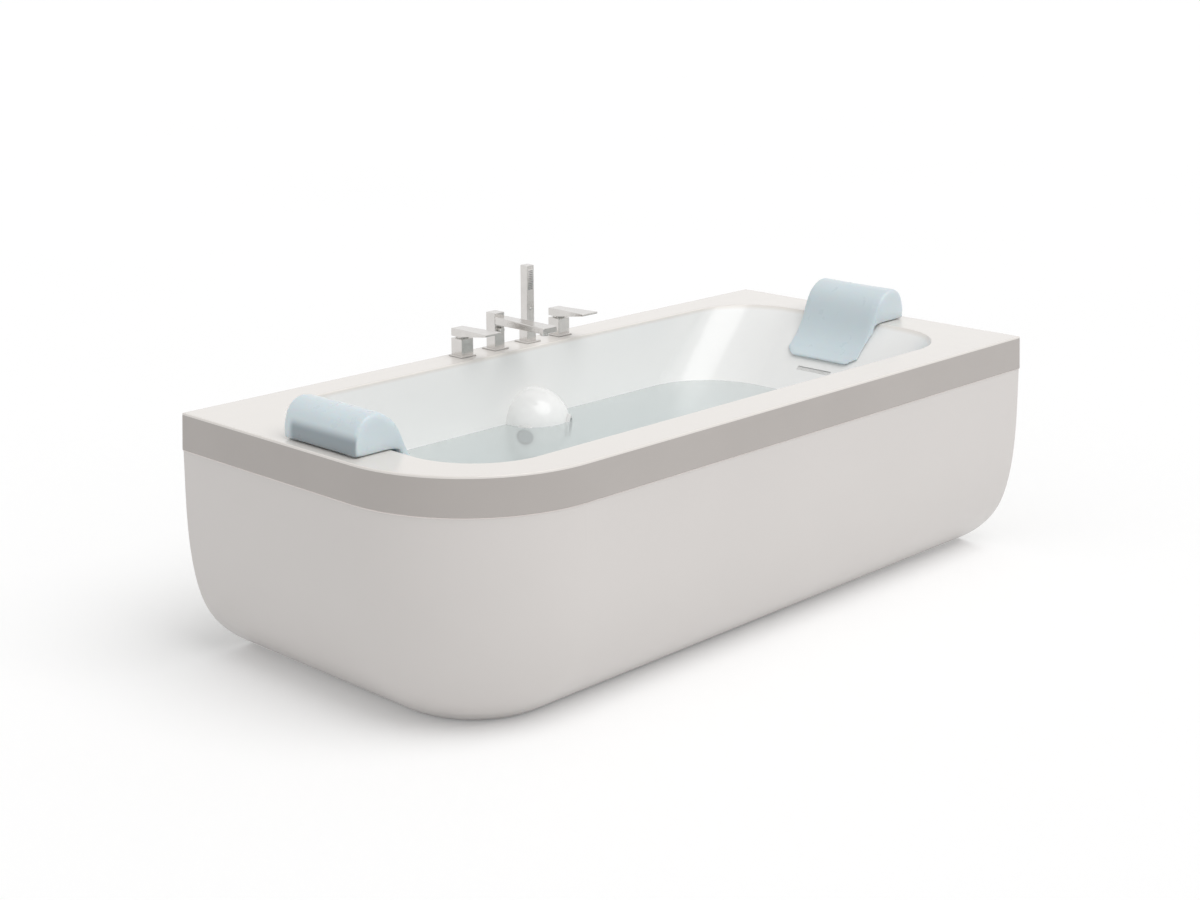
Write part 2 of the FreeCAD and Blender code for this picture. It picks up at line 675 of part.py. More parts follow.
def make_drain():
    """Drain flange, body, plug and trap."""
    hole = dim("drain_hole")
    flange = turned([(hole - 3.5, 0), (36, 0), (36, 1), (33, 3), (hole - 3.5, 3)])
    flange = flange.fuse(ring(hole - 0.3, hole - 3.5, -22, 0))
    feature("drain_flange", on_drain(flange))
    body = ring(38, hole, -13, -6).fuse(ring(32, 29, DRAIN_BODY_LOW, -13))
    body = body.fuse(ring(32, hole, -16, -13))
    body = body.fuse(Part.makeCylinder(32, 3, Vector(0, 0, DRAIN_BODY_LOW - 3)))
    guide = ring(9, 5.08, DRAIN_BODY_LOW, DRAIN_BODY_LOW + 18)
    waste = dim("waste_radius")
    body = body.fuse(guide)
    outlet = Part.makeCylinder(waste + 3, 22, Vector(0, 28, -42), Vector(0, 1, 0))
    entry = Part.makeCylinder(15, 22, Vector(28, 0, -42), Vector(1, 0, 0))
    chamber = Part.makeCylinder(29, 40, Vector(0, 0, DRAIN_BODY_LOW))
    body = body.fuse(outlet.fuse(entry).cut(chamber))
    body = body.cut(Part.makeCylinder(waste + 0.05, 60, Vector(0, 20, -42), Vector(0, 1, 0)))
    body = body.cut(Part.makeCylinder(12.05, 60, Vector(20, 0, -42), Vector(1, 0, 0)))
    feature("drain_body", on_drain(body))
    plug = turned([(0, 3.4), (28, 3.4), (30, 4.4), (30, 6), (26, 8), (0, 9)])
    stem = Part.makeCylinder(5, 62, Vector(0, 0, -56))
    feature("drain_plug", on_drain(plug.fuse(stem)))
    level = DRAIN.z - 42
    points = [Vector(DRAIN.x, DRAIN.y + 34, level), Vector(DRAIN.x, DRAIN.y + 90, level),
              Vector(DRAIN.x, DRAIN.y + 90, 30), Vector(DRAIN.x, DRAIN.y + 200, 30),
              Vector(DRAIN.x, DRAIN.y + 200, level - 8), Vector(DRAIN.x, 440, level - 8)]
    feature("waste_trap", pipe(points, waste, waste - 2, 26))


def make_overflow():
    """Overflow slot: its trim, the box behind the wall and the pipe to the drain."""
    frame = slab(SLOT_LENGTH + 8, 20, 1.0, 3.0)
    collar = slab(SLOT_LENGTH - 0.6, 11.4, -10.5, 1.0)
    way = slab(SLOT_LENGTH - 4, 7, -20, 10)
    feature("overflow_trim", on_slope(frame.fuse(collar).cut(way)))
    case = slab(SLOT_LENGTH + 20, 36, -40, -7.6)
    hollow = slab(SLOT_LENGTH + 14, 30, -37, -10.6)
    mouth = slab(SLOT_LENGTH + 0.6, 12.6, -20, 0)
    outlet = Part.makeCylinder(12.05, 20, Vector(0, 0, -50))
    neck = Part.makeCylinder(15, 14, Vector(0, 0, -54))
    case = case.fuse(neck).cut(hollow).cut(mouth).cut(Part.makeCylinder(12.05, 30, Vector(0, 0, -60)))
    feature("overflow_box", on_slope(case))
    start = SLOT_AT - SLOT_AIM * 42
    knee = SLOT_AT - SLOT_AIM * 105
    level = DRAIN.z - 42
    points = [start, knee, Vector(knee.x, knee.y, level), Vector(300, DRAIN.y, level),
              Vector(DRAIN.x + 34, DRAIN.y, level)]
    feature("overflow_pipe", pipe(points, 12, 10, 40))


# ---------------------------------------------------------------- mixer set
MIXER_Y = dim("mixer_y")
PITCH = dim("mixer_pitch")
MIXER_X = {
    "left_valve": -1.5 * PITCH,
    "spout": -0.5 * PITCH,
    "shower": 0.5 * PITCH,
    "right_valve": 1.5 * PITCH,
}
PLATE_TOP = RIM + dim("plate_thick")
TAIL = dim("tail_radius")
BLOCK_TOP = RIM - 40
BLOCK = 24
INLET_RADIUS = 10.4
MIX_Y = 382
MIX_Z = BLOCK_TOP - BLOCK / 2


def block(side, low, high, x, y=MIXER_Y, edge=0.0):
    """An upright square block about one of the mixer's holes."""
    body = Part.makeBox(side, side, high - low, Vector(x - side / 2, y - side / 2, low))
    if edge:
        upright = [e for e in body.Edges if abs(e.BoundBox.ZLength - (high - low)) < 0.01]
        body = body.makeFillet(edge, upright)
    return body


def make_plates():
    """Four thin square plates on the rim, each with its hole."""
    plates = []
    for x in MIXER_X.values():
        plate = block(dim("plate_side"), RIM, PLATE_TOP, x, edge=1)
        top = [e for e in plate.Edges if e.BoundBox.ZMin > PLATE_TOP - 0.01]
        plate = plate.makeFillet(0.8, top)
        hole = Part.makeCylinder(TAIL + 0.2, 20, Vector(x, MIXER_Y, RIM - 5))
        plates.append(plate.cut(hole))
    feature("base_plates", Part.makeCompound(plates))


def make_tail(x):
    """One threaded tail through the deck, with the square block at its lower end."""
    tail = Part.makeCylinder(TAIL, PLATE_TOP - BLOCK_TOP, Vector(x, MIXER_Y, BLOCK_TOP))
    return tail.fuse(block(BLOCK, BLOCK_TOP - BLOCK, BLOCK_TOP, x, edge=2))


def make_tails():
    """Threaded tails under the deck with their nuts, and the mixing pipe between them."""
    reach = MIXER_Y - BLOCK / 2 - MIX_Y
    stubs = [make_tail(MIXER_X["spout"])]
    stubs.append(Part.makeCylinder(7, reach + 4, Vector(MIXER_X["spout"], MIX_Y, MIX_Z), Vector(0, 1, 0)))
    for side in ("left", "right"):
        x = MIXER_X["%s_valve" % side]
        low = BLOCK_TOP - BLOCK - 32
        spigot = Part.makeCylinder(INLET_RADIUS, 36, Vector(x, MIXER_Y, low))
        bore = Part.makeCylinder(7, 60, Vector(x, MIXER_Y, low - 1))
        feature("%s_valve_tail" % side, make_tail(x).fuse(spigot).cut(bore))
        stubs.append(Part.makeCylinder(7, reach, Vector(x, MIX_Y, MIX_Z), Vector(0, 1, 0)))
    nuts = []
    for x in MIXER_X.values():
        nut = hexagon(34, 8, TAIL + 0.05)
        nut.translate(Vector(x, MIXER_Y, RIM - dim("rim_thick") - 8))
        nuts.append(nut)
    feature("deck_nuts", Part.makeCompound(nuts))
    left = MIXER_X["left_valve"] - 14
    mixing = Part.makeCylinder(8, HOSE_TEE + 14 - left, Vector(left, MIX_Y, MIX_Z), Vector(1, 0, 0))
    stubs.append(Part.makeCylinder(8.5, 24, Vector(HOSE_TEE, MIX_Y, MIX_Z - 24)))
    feature("mixing_pipe", mixing.multiFuse(stubs))


LEVER_BACK = 19


def rectangle(width, low, high, x, y):
    """An upright rectangle across the lever or the spout at one place along Y."""
    half = width / 2
    corners = [Vector(x - half, y, low), Vector(x + half, y, low),
               Vector(x + half, y, high), Vector(x - half, y, high)]
    return Part.makePolygon(corners + corners[:1])


def make_valves():
    """Square valve bodies and their flat levers, thick over the body and thin at the tip."""
    for side in ("left", "right"):
        x = MIXER_X["%s_valve" % side]
        top = PLATE_TOP + dim("valve_height")
        body = block(dim("valve_side"), PLATE_TOP, top, x, edge=1.5)
        upper = [e for e in body.Edges if e.BoundBox.ZMin > top - 0.01]
        body = body.makeFillet(1.2, upper)
        socket = Part.makeCylinder(11.05, 14, Vector(x, MIXER_Y, top - 14))
        feature("%s_valve_body" % side, body.cut(socket))
        spindle = Part.makeCylinder(11, 15, Vector(x, MIXER_Y, top - 13))
        neck = Part.makeCylinder(14, 6.5, Vector(x, MIXER_Y, top + 0.3))
        low = top + 5
        back = MIXER_Y + LEVER_BACK
        wires = [rectangle(37, low, low + 19, x, back),
                 rectangle(38, low + 0.5, low + 19.5, x, back - 30),
                 rectangle(53, low + 16, low + 21, x, back - dim("lever_length"))]
        blade = Part.makeLoft(wires, True, True)
        blade = blade.makeFillet(1.2, blade.Edges)
        feature("%s_lever" % side, spindle.multiFuse([neck, blade]))


def make_spout():
    """Spout: square column, flat arm that widens to its tip, outlet, and the knob."""
    x = MIXER_X["spout"]
    side = dim("spout_column")
    top = RIM + dim("spout_height")
    column = block(side, PLATE_TOP, top, x, edge=1.5)
    upper = [e for e in column.Edges if e.BoundBox.ZMin > top - 0.01]
    column = column.makeFillet(1.2, upper)
    front = MIXER_Y - side / 2
    wires = [rectangle(side - 2, top - 28, top - 9, x, front + 4),
             rectangle(46, top - 25, top - 11, x, front - dim("spout_reach"))]
    arm = Part.makeLoft(wires, True, True)
    arm = arm.makeFillet(1.5, arm.Edges)
    outlet = Part.makeCylinder(11, 8, Vector(x, front - dim("spout_reach") + 20, top - 32))
    water = Part.makeCylinder(9, 6, Vector(x, front - dim("spout_reach") + 20, top - 33))
    knob_hole = Part.makeCylinder(4.05, 14, Vector(x, front - 1, top - 42), Vector(0, 1, 0))
    feature("spout_body", column.multiFuse([arm, outlet]).cut(water).cut(knob_hole))
    knob = turned([(0, 0.4), (7, 0.4), (7.6, 1.2), (7.6, 9), (6.4, 10.4), (0, 10.4)])
    knob = knob.fuse(Part.makeCylinder(4, 12, Vector(0, 0, -11)))
    feature("diverter_knob", aimed(knob, Vector(x, front, top - 42), Vector(0, -1, 0)))


HOSE_TEE = 200
GUIDE_LOW = 380
HOSE_MEET = 388
HOSE_BEND = 60
SOCKET_LOW = PLATE_TOP + 8


def make_hand_shower():
    """Stick hand shower in its holder, with its hose running down into the guide."""
    x = MIXER_X["shower"]
    holder = block(dim("holder_side"), PLATE_TOP, dim("holder_top"), x, edge=1.5)
    socket = block(dim("stick_side") + 0.8, SOCKET_LOW, RIM + 100, x)
    hose = dim("hose_radius")
    way = Part.makeCylinder(hose + 1, 60, Vector(x, MIXER_Y, RIM - 20))
    feature("shower_holder", holder.cut(socket).cut(way))
    low = SOCKET_LOW + 0.4
    top = dim("stick_top")
    stick = block(dim("stick_side"), low, top, x, edge=1.5)
    upper = [e for e in stick.Edges if e.BoundBox.ZMin > top - 0.01]
    stick = stick.makeFillet(1, upper)
    feature("shower_handset", stick)
    length = low - HOSE_MEET
    upper_hose = Part.makeCylinder(hose, length, Vector(x, MIXER_Y, HOSE_MEET))
    bore = Part.makeCylinder(hose - 2, length, Vector(x, MIXER_Y, HOSE_MEET))
    feature("hose_upper", upper_hose.cut(bore))
    guide = ring(TAIL, hose + 1, GUIDE_LOW, PLATE_TOP)
    guide = guide.fuse(ring(TAIL, hose + 0.05, GUIDE_LOW, GUIDE_LOW + 4))
    guide.translate(Vector(x, MIXER_Y, 0))
    feature("hose_guide", guide)
    points = [Vector(x, MIXER_Y, HOSE_MEET), Vector(x, MIXER_Y, 250), Vector(HOSE_TEE, MIX_Y, 250),
              Vector(HOSE_TEE, MIX_Y, MIX_Z - 24)]
    feature("hose_lower", pipe(points, hose, hose - 2, HOSE_BEND))


# ---------------------------------------------------------------- headrests
REST_CLEAR = 1.6
TIP_Z = 472
LEG_CORNER_Z = 491
LEG_CUT = 34


def headrest_section():
    """Closed section of the right headrest across the tub: arch, face, and fitted underside."""
    end = LENGTH / 2
    base = RIM + 0.6
    foot = Vector(end - 25, 0, base)
    arch = [foot, Vector(end - 28, 0, RIM + 40), Vector(end - 44, 0, RIM + 72),
            Vector(end - 72, 0, RIM + 86), Vector(end - 104, 0, RIM + 79),
            Vector(end - 132, 0, RIM + 58), Vector(end - 150, 0, RIM + 28),
            Vector(end - 164, 0, RIM - 6), Vector(end - 190, 0, RIM - 48),
            Vector(end - 215, 0, RIM - 72)]
    slope = []
    for height in (TIP_Z, 495, 520, 545):
        point, normal = wall_frame(Vector(0, MIDDLE_Y, height), Vector(1, 0, 0), Vector(0, 0, 1))
        lifted = point + normal * REST_CLEAR
        slope.append(Vector(lifted.x, 0, lifted.z))
    tip = slope[0]
    blunt = Vector(tip.x - 9, 0, tip.z + 3)
    curve = Part.BSplineCurve()
    curve.interpolate(arch + [blunt])
    lip = Vector(end - 112, 0, base)
    under = Part.BSplineCurve()
    under.interpolate(slope)
    edges = [curve.toShape(), Part.LineSegment(blunt, tip).toShape(), under.toShape()]
    edges.append(Part.LineSegment(slope[-1], Vector(slope[-1].x + 9, 0, base - 2)).toShape())
    edges.append(Part.LineSegment(Vector(slope[-1].x + 9, 0, base - 2), lip).toShape())
    edges.append(Part.LineSegment(lip, foot).toShape())
    return Part.Face(Part.Wire(edges))


def make_headrests():
    """Two soft headrests over the rim's ends, with the corners of each leg cut off at its tip."""
    width = dim("headrest_width")
    body = headrest_section().extrude(Vector(0, width, 0))
    body.translate(Vector(0, MIDDLE_Y - width / 2, 0))
    half = width / 2
    corners = [(-half - 1, RIM + 200), (-half - 1, LEG_CORNER_Z), (-half + LEG_CUT, TIP_Z),
               (-half + LEG_CUT, TIP_Z - 20), (half - LEG_CUT, TIP_Z - 20), (half - LEG_CUT, TIP_Z),
               (half + 1, LEG_CORNER_Z), (half + 1, RIM + 200)]
    outline = [Vector(0, MIDDLE_Y + y, z) for y, z in corners]
    mask = Part.Face(Part.makePolygon(outline + outline[:1])).extrude(Vector(LENGTH, 0, 0))
    right = body.common(mask)
    feature("headrest_right", right)
    feature("headrest_left", right.mirror(Vector(), Vector(1, 0, 0)))


# ---------------------------------------------------------------- the whole part
def check_part():
    """Stops unless every object is sound."""
    doc.recompute()
    for obj in doc.Objects:
        for word in ("Invalid", "Error"):
            if word in obj.State:
                raise RuntimeError("%s is %s" % (obj.Label, obj.State))
    for obj in subparts:
        if obj.Shape.isNull() or not obj.Shape.isValid():
            raise RuntimeError("%s has no sound shape" % obj.Label)


def write_parts():
    """Writes each sub-part to its own file."""
    os.makedirs("parts", exist_ok=True)
    for old in os.listdir("parts"):
        os.remove(os.path.join("parts", old))
    for obj in subparts:
        obj.Shape.exportStep(os.path.join("parts", obj.Label + ".step"))


def main():
    """Builds every sub-part, checks them and writes them."""
    feature("basin_shell", finish_basin())
    feature("rim_band", make_band())
    feature("side_panel", make_panel())
    make_frame()
    make_feet()
    make_pump()
    make_suction()
    make_pressure()
    make_jets()
    make_control()
    make_drain()
    make_overflow()
    make_plates()
    make_tails()
    make_valves()
    make_spout()
    make_hand_shower()
    make_headrests()
    check_part()
    for obj in subparts:
        size = obj.Shape.BoundBox
        print("%-20s %2d solids %10.1f cm3  x %7.1f %7.1f  y %7.1f %7.1f  z %6.1f %6.1f" % (
            obj.Label, len(obj.Shape.Solids), obj.Shape.Volume / 1000,
            size.XMin, size.XMax, size.YMin, size.YMax, size.ZMin, size.ZMax))
    print(len(subparts), "sub-parts")
    write_parts()


main()
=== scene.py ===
"""Looks of a jetted bathtub with gel headrests and a deck mixer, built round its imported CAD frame.

The file is laid out as an add-on: property groups hold the sizes and colours, one operator makes each
group of pieces, and main() calls them in order. Everything is in metres, in the frame of the CAD part:
X runs along the tub to the right, Y to the back wall and Z up from the floor.
"""
import math

import bmesh
import bpy
from bpy.props import FloatProperty, FloatVectorProperty, IntProperty, PointerProperty
from bpy.types import Operator, Panel, PropertyGroup
from mathutils import Matrix, Vector


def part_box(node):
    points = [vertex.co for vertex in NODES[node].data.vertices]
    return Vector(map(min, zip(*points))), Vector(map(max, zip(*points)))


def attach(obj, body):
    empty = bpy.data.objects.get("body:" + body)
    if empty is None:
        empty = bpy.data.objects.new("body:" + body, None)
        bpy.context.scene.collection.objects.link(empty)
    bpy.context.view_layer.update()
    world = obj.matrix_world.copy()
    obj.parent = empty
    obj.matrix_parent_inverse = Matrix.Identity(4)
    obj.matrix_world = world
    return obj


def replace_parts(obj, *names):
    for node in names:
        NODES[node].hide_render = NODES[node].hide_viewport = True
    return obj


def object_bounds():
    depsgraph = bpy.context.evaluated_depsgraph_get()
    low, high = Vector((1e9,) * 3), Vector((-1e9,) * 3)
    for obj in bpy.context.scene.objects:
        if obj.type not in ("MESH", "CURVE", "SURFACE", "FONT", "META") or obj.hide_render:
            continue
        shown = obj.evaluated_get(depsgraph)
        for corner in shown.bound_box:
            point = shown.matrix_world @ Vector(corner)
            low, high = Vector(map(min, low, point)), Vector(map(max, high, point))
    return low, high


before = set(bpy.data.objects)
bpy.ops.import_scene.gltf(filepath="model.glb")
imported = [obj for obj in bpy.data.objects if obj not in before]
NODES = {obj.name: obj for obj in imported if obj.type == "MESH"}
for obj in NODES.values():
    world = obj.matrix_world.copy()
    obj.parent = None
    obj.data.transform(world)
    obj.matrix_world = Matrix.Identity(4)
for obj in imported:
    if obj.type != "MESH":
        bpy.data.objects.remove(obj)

CAD_LOW, CAD_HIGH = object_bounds()

# Put before the names of the frame's own materials, which would clash with the finishes made here.
PACKED = "packed_"
# The overflow slot's middle on the right backrest, and the way that the wall faces there.
SLOT_X, SLOT_Z = 0.69523, 0.450
SLOT_AIM = Vector((-0.7246, 0.0, 0.6892))
# Points closer than this are one, and the sharpest fold within one side of the basin's wall.
MERGE = 1e-6
FOLD = math.radians(50.0)

bl_info = {
    "name": "Jetted Bathtub",
    "version": (1, 0, 0),
    "blender": (4, 5, 0),
    "location": "3D View > Sidebar > Bathtub",
    "description": "Makes the finishes and fine pieces of a jetted bathtub and its studio",
    "category": "Object",
}


def colour(label, text, value):
    """A colour property."""
    return FloatVectorProperty(name=label, description=text, default=value, subtype="COLOR",
                               min=0.0, max=1.0)


def number(label, text, value, **limits):
    """A number property."""
    return FloatProperty(name=label, description=text, default=value, **limits)


def length(label, text, value):
    """A length property in metres."""
    return number(label, text, value, unit="LENGTH", precision=4)


def count(label, text, value, least):
    """A whole number property."""
    return IntProperty(name=label, description=text, default=value, min=least)


class BathtubColours(PropertyGroup):
    """Colours of the tub's own finishes, as linear values."""

    acrylic: colour("Acrylic", "White of the basin", (0.905, 0.905, 0.895))
    # Painted shade: the rim top is the same acrylic as the basin, given a warmer tone and made darker to
    # hold back the light that falls on the flat top.
    rim: colour("Rim", "Warm white of the flat rim", (0.82, 0.78, 0.74))
    band: colour("Band", "Taupe of the band under the rim", (0.475, 0.443, 0.420))
    panel: colour("Panel", "Pale grey white of the curved apron", (0.71, 0.678, 0.656))
    gel: colour("Gel", "Pale blue of the headrests", (0.66, 0.75, 0.79))
    # Painted shade: the dark band on a headrest's back stands in for the weight inside and the shadow it
    # casts, seen through the gel.
    weight: colour("Weight", "Grey of the weight seen through a headrest's back", (0.30, 0.35, 0.38))
    chrome: colour("Chrome", "Satin polished metal of the mixer and trims", (0.66, 0.64, 0.62))
    dark: colour("Jet grey", "Grey plastic inside the jets", (0.26, 0.28, 0.29))
    water: colour("Water", "Tint of the water in the staged bath", (0.62, 0.93, 0.97))
    haze: colour("Haze", "Light that the water's surface scatters", (0.95, 1.0, 1.0))
    floor: colour("Floor", "Studio floor", (0.86, 0.86, 0.86))


class BathtubSizes(PropertyGroup):
    """Sizes of the pieces that are made here."""

    # Painted highlight: the bead under the band is painted pale to give the light line along that edge.
    bead: length("Bead", "Height of the pale bead under the band", 0.0034)
    corner: length("Corner", "Radius of the round corner in plan", 0.330)
    laminate: length("Laminate", "Thickness of the glass fibre laminate", 0.0012)
    pad_margin: length("Pad margin", "How much smaller a headrest starts before it is filled", 0.0008)
    pad_voxel: length("Pad voxel", "Size of a headrest's faces before smoothing", 0.0032)
    pad_cap: length("Pad cap", "Furthest that filling moves a point of a headrest", 0.0014)
    pad_passes: count("Pad passes", "Smoothing passes on a headrest", 8, 1)
    nozzle_rows: count("Nozzle rows", "Rows of nozzles on the hand shower", 11, 1)
    nozzle_pitch: length("Nozzle pitch", "Distance between rows of nozzles", 0.0045)
    jet_ball: length("Jet ball", "Radius of a jet's ball", 0.0225)
    jet_mouth: length("Jet mouth", "Radius of a jet's opening", 0.0190)
    jet_vanes: count("Jet vanes", "Bars across a jet", 6, 2)
    hose: length("Hose", "Diameter of the shower's hose", 0.012)
    hose_length: length("Hose length", "Length of the hose under the deck", 0.465)
    lead: length("Lead", "Diameter of the pump's lead", 0.007)
    lead_length: length("Lead length", "Length of the pump's lead", 0.130)
    water_level: length("Water level", "Height of the staged water", 0.396)
    water_density: number("Water density", "How strongly the water tints, per metre", 0.3, min=0.0)
    water_haze: number("Water haze", "Share of milky surface in the water", 0.34, min=0.0, max=1.0)


class BathtubStudio(PropertyGroup):
    """Camera and light."""

    lens: number("Lens", "Focal length of the camera, on a 36 mm sensor", 59.316, unit="CAMERA")
    camera: FloatVectorProperty(name="Camera place", description="Where the camera stands",
                                subtype="TRANSLATION", default=(-3.29725, -3.05164, 1.65195))
    turn: number("Turn", "Heading of the camera, from Y towards X", 0.80635, subtype="ANGLE")
    dip: number("Dip", "How far the camera looks down", 0.22743, subtype="ANGLE")
    roll: number("Roll", "Roll of the camera", -0.00124, subtype="ANGLE")
    shift: number("Shift", "Vertical lens shift, in parts of the picture's width", -0.08)
    ambient: number("Ambient", "Strength of the even light from all round", 0.58, min=0.0)
    lift: number("Floor lift", "Light that the camera sees added to the floor", 0.18, min=0.0)
    key: number("Key light", "Strength of the soft light from above the front", 1.35, min=0.0)


# ---------------------------------------------------------------- finishes
def tinted(value, factor):
    """A colour times a factor, as four numbers."""
    return (*(min(1.0, part * factor) for part in value), 1.0)


def place(tree, stretch=(1.0, 1.0, 1.0)):
    """Object coordinates, stretched where a pattern runs one way."""
    where = tree.nodes.new("ShaderNodeTexCoord")
    mapping = tree.nodes.new("ShaderNodeMapping")
    mapping.inputs["Scale"].default_value = stretch
    tree.links.new(where.outputs["Object"], mapping.inputs["Vector"])
    return mapping.outputs["Vector"]


def noise(tree, vector, scale, detail=2.0):
    """Fac output of a noise texture; scale is in cells per metre."""
    texture = tree.nodes.new("ShaderNodeTexNoise")
    texture.inputs["Scale"].default_value = scale
    texture.inputs["Detail"].default_value = detail
    tree.links.new(vector, texture.inputs["Vector"])
    return texture.outputs["Fac"]


def ranged(tree, value, low, high, start=0.3, stop=0.7, kind="LINEAR"):
    """Value mapped from start..stop to low..high."""
    spread = tree.nodes.new("ShaderNodeMapRange")
    spread.interpolation_type = kind
    for end, number in (("From Min", start), ("From Max", stop), ("To Min", low), ("To Max", high)):
        spread.inputs[end].default_value = number
    tree.links.new(value, spread.inputs["Value"])
    return spread.outputs["Result"]


def soft_step(tree, value, start, stop):
    """0 before start, 1 after stop and smooth between; start may be the larger."""
    return ranged(tree, value, 0.0, 1.0, start, stop, "SMOOTHSTEP")


def maths(tree, operation, *values):
    """A Math node's output; each value is a number or a socket."""
    node = tree.nodes.new("ShaderNodeMath")
    node.operation = operation
    for value, socket in zip(values, node.inputs):
        if isinstance(value, bpy.types.NodeSocket):
            tree.links.new(value, socket)
        else:
            socket.default_value = value
    return node.outputs[0]


def mixed(tree, factor, first, second):
    """Output of two shaders mixed; factor is a number or a socket."""
    mix = tree.nodes.new("ShaderNodeMixShader")
    if isinstance(factor, bpy.types.NodeSocket):
        tree.links.new(factor, mix.inputs["Fac"])
    else:
        mix.inputs["Fac"].default_value = factor
    tree.links.new(first.outputs[0], mix.inputs[1])
    tree.links.new(second.outputs[0], mix.inputs[2])
    return mix


def blended(tree, factor, first, second):
    """Colour that goes from first to second with factor; each is a colour or a socket."""
    mix = tree.nodes.new("ShaderNodeMix")
    mix.data_type = "RGBA"
    tree.links.new(factor, mix.inputs["Factor"])
    for name, value in (("A", first), ("B", second)):
        socket = [s for s in mix.inputs if s.name == name and s.type == "RGBA"][0]
        if isinstance(value, bpy.types.NodeSocket):
            tree.links.new(value, socket)
        else:
            socket.default_value = value
    return [s for s in mix.outputs if s.type == "RGBA"][0]


def bumped(tree, height, depth, base=None):
    """Normal output of a bump of that depth in metres, on top of another bump."""
    bump = tree.nodes.new("ShaderNodeBump")
    bump.inputs["Distance"].default_value = depth
    tree.links.new(height, bump.inputs["Height"])
    if base is not None:
        tree.links.new(base, bump.inputs["Normal"])
    return bump.outputs["Normal"]


def finish(name, tone, rough, spread=0.04, cloud=5.0, smear=0.05, smear_scale=30.0, grain=500.0,
           depth=0.00004, stretch=(1.0, 1.0, 1.0), **sockets):
    """A material with clouded colour, uneven gloss and a fine grain; sockets are set on the shader."""
    material = bpy.data.materials.new(name)
    material.use_nodes = True
    tree = material.node_tree
    shader = tree.nodes["Principled BSDF"]
    for socket, value in sockets.items():
        shader.inputs[socket.replace("_", " ")].default_value = value
    vector = place(tree, stretch)
    clouds = ranged(tree, noise(tree, vector, cloud, 3.0), 0.0, 1.0)
    tree.links.new(blended(tree, clouds, tinted(tone, 1.0 - spread), tinted(tone, 1.0 + spread)),
                   shader.inputs["Base Color"])
    gloss = ranged(tree, noise(tree, vector, smear_scale, 4.0), max(0.02, rough - smear), rough + smear)
    tree.links.new(gloss, shader.inputs["Roughness"])
    tree.links.new(bumped(tree, noise(tree, vector, grain), depth), shader.inputs["Normal"])
    return material


def axis_value(tree, axis, absolute=False):
    """One Object coordinate, or its size."""
    split = tree.nodes.new("ShaderNodeSeparateXYZ")
    tree.links.new(place(tree), split.inputs[0])
    value = split.outputs[axis]
    return maths(tree, "ABSOLUTE", value) if absolute else value


def overlaid(material, mask, tone):
    """Puts a second colour over a finish where mask is 1."""
    tree = material.node_tree
    socket = tree.nodes["Principled BSDF"].inputs["Base Color"]
    under = socket.links[0].from_socket
    tree.links.new(blended(tree, mask, under, tinted(tone, 1.0)), socket)


def dress(material, node):
    """Gives a CAD node a finish."""
    for slot in NODES[node].material_slots:
        slot.material = material


def shared(name):
    """A finish that an earlier operator made."""
    return bpy.data.materials[name]


# ---------------------------------------------------------------- shapes
def facing(direction, at=(0.0, 0.0, 0.0)):
    """A matrix that stands a shape made along Z at a point, along a direction."""
    return Matrix.Translation(at) @ Vector(direction).to_track_quat("Z", "Y").to_matrix().to_4x4()


def turned(profile, direction=(0.0, 0.0, 1.0), at=(0.0, 0.0, 0.0), steps=32):
    """A solid turned from a (radius, height) outline, which is closed by a last line unless both of its
    ends are on the axis."""
    shape = bmesh.new()
    points = [shape.verts.new((radius, 0.0, height)) for radius, height in profile]
    pairs = list(zip(points, points[1:]))
    if profile[0][0] > 0.0 or profile[-1][0] > 0.0:
        pairs.append((points[-1], points[0]))
    lines = [shape.edges.new(pair) for pair in pairs]
    bmesh.ops.spin(shape, geom=points + lines, cent=(0, 0, 0), axis=(0, 0, 1), angle=math.tau,
                   steps=steps, use_merge=True)
    bmesh.ops.remove_doubles(shape, verts=shape.verts, dist=MERGE)
    bmesh.ops.recalc_face_normals(shape, faces=shape.faces)
    shape.transform(facing(direction, at))
    return shape


def block(low, high, bevel, segments=2):
    """A box between two corners with rounded edges."""
    low, high = Vector(low), Vector(high)
    shape = bmesh.new()
    bmesh.ops.create_cube(shape, size=1.0)
    bmesh.ops.scale(shape, vec=high - low, verts=shape.verts)
    bmesh.ops.translate(shape, vec=(low + high) / 2, verts=shape.verts)
    bmesh.ops.bevel(shape, geom=shape.edges, offset=bevel, offset_type="OFFSET", affect="EDGES",
                    segments=segments, profile=0.5, material=-1)
    return shape


def joined(parts):
    """Several shapes as one; the parts are freed."""
    whole = bmesh.new()
    for part in parts:
        scrap = bpy.data.meshes.new("scrap")
        part.to_mesh(scrap)
        part.free()
        whole.from_mesh(scrap)
        bpy.data.meshes.remove(scrap)
    return whole


def copied(node):
    """A CAD node's mesh with its loose triangles merged."""
    shape = bmesh.new()
    shape.from_mesh(NODES[node].data)
    bmesh.ops.remove_doubles(shape, verts=shape.verts, dist=MERGE)
    return shape


def linked(name, data):
    """A new object at the origin."""
    made = bpy.data.objects.new(name, data)
    bpy.context.scene.collection.objects.link(made)
    return made


def meshed(name, shape, material):
    """An object with a shape's mesh; the shape is freed."""
    mesh = bpy.data.meshes.new(name)
    shape.to_mesh(mesh)
    shape.free()
    mesh.materials.append(material)
    return linked(name, mesh)


def piece(name, shape, body, slot, look=None, sharp=35.0):
    """A finished piece that rides on a body; look is its finish where it isn't the slot's own."""
    made = meshed(name, shape, shared(look or slot))
    made.data.polygons.foreach_set("use_smooth", [True] * len(made.data.polygons))
    made.data.set_sharp_from_angle(angle=math.radians(sharp))
    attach(made, body)
    return made


def middle(node):
    """The middle of a CAD node's box."""
    low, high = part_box(node)
    return (low + high) / 2


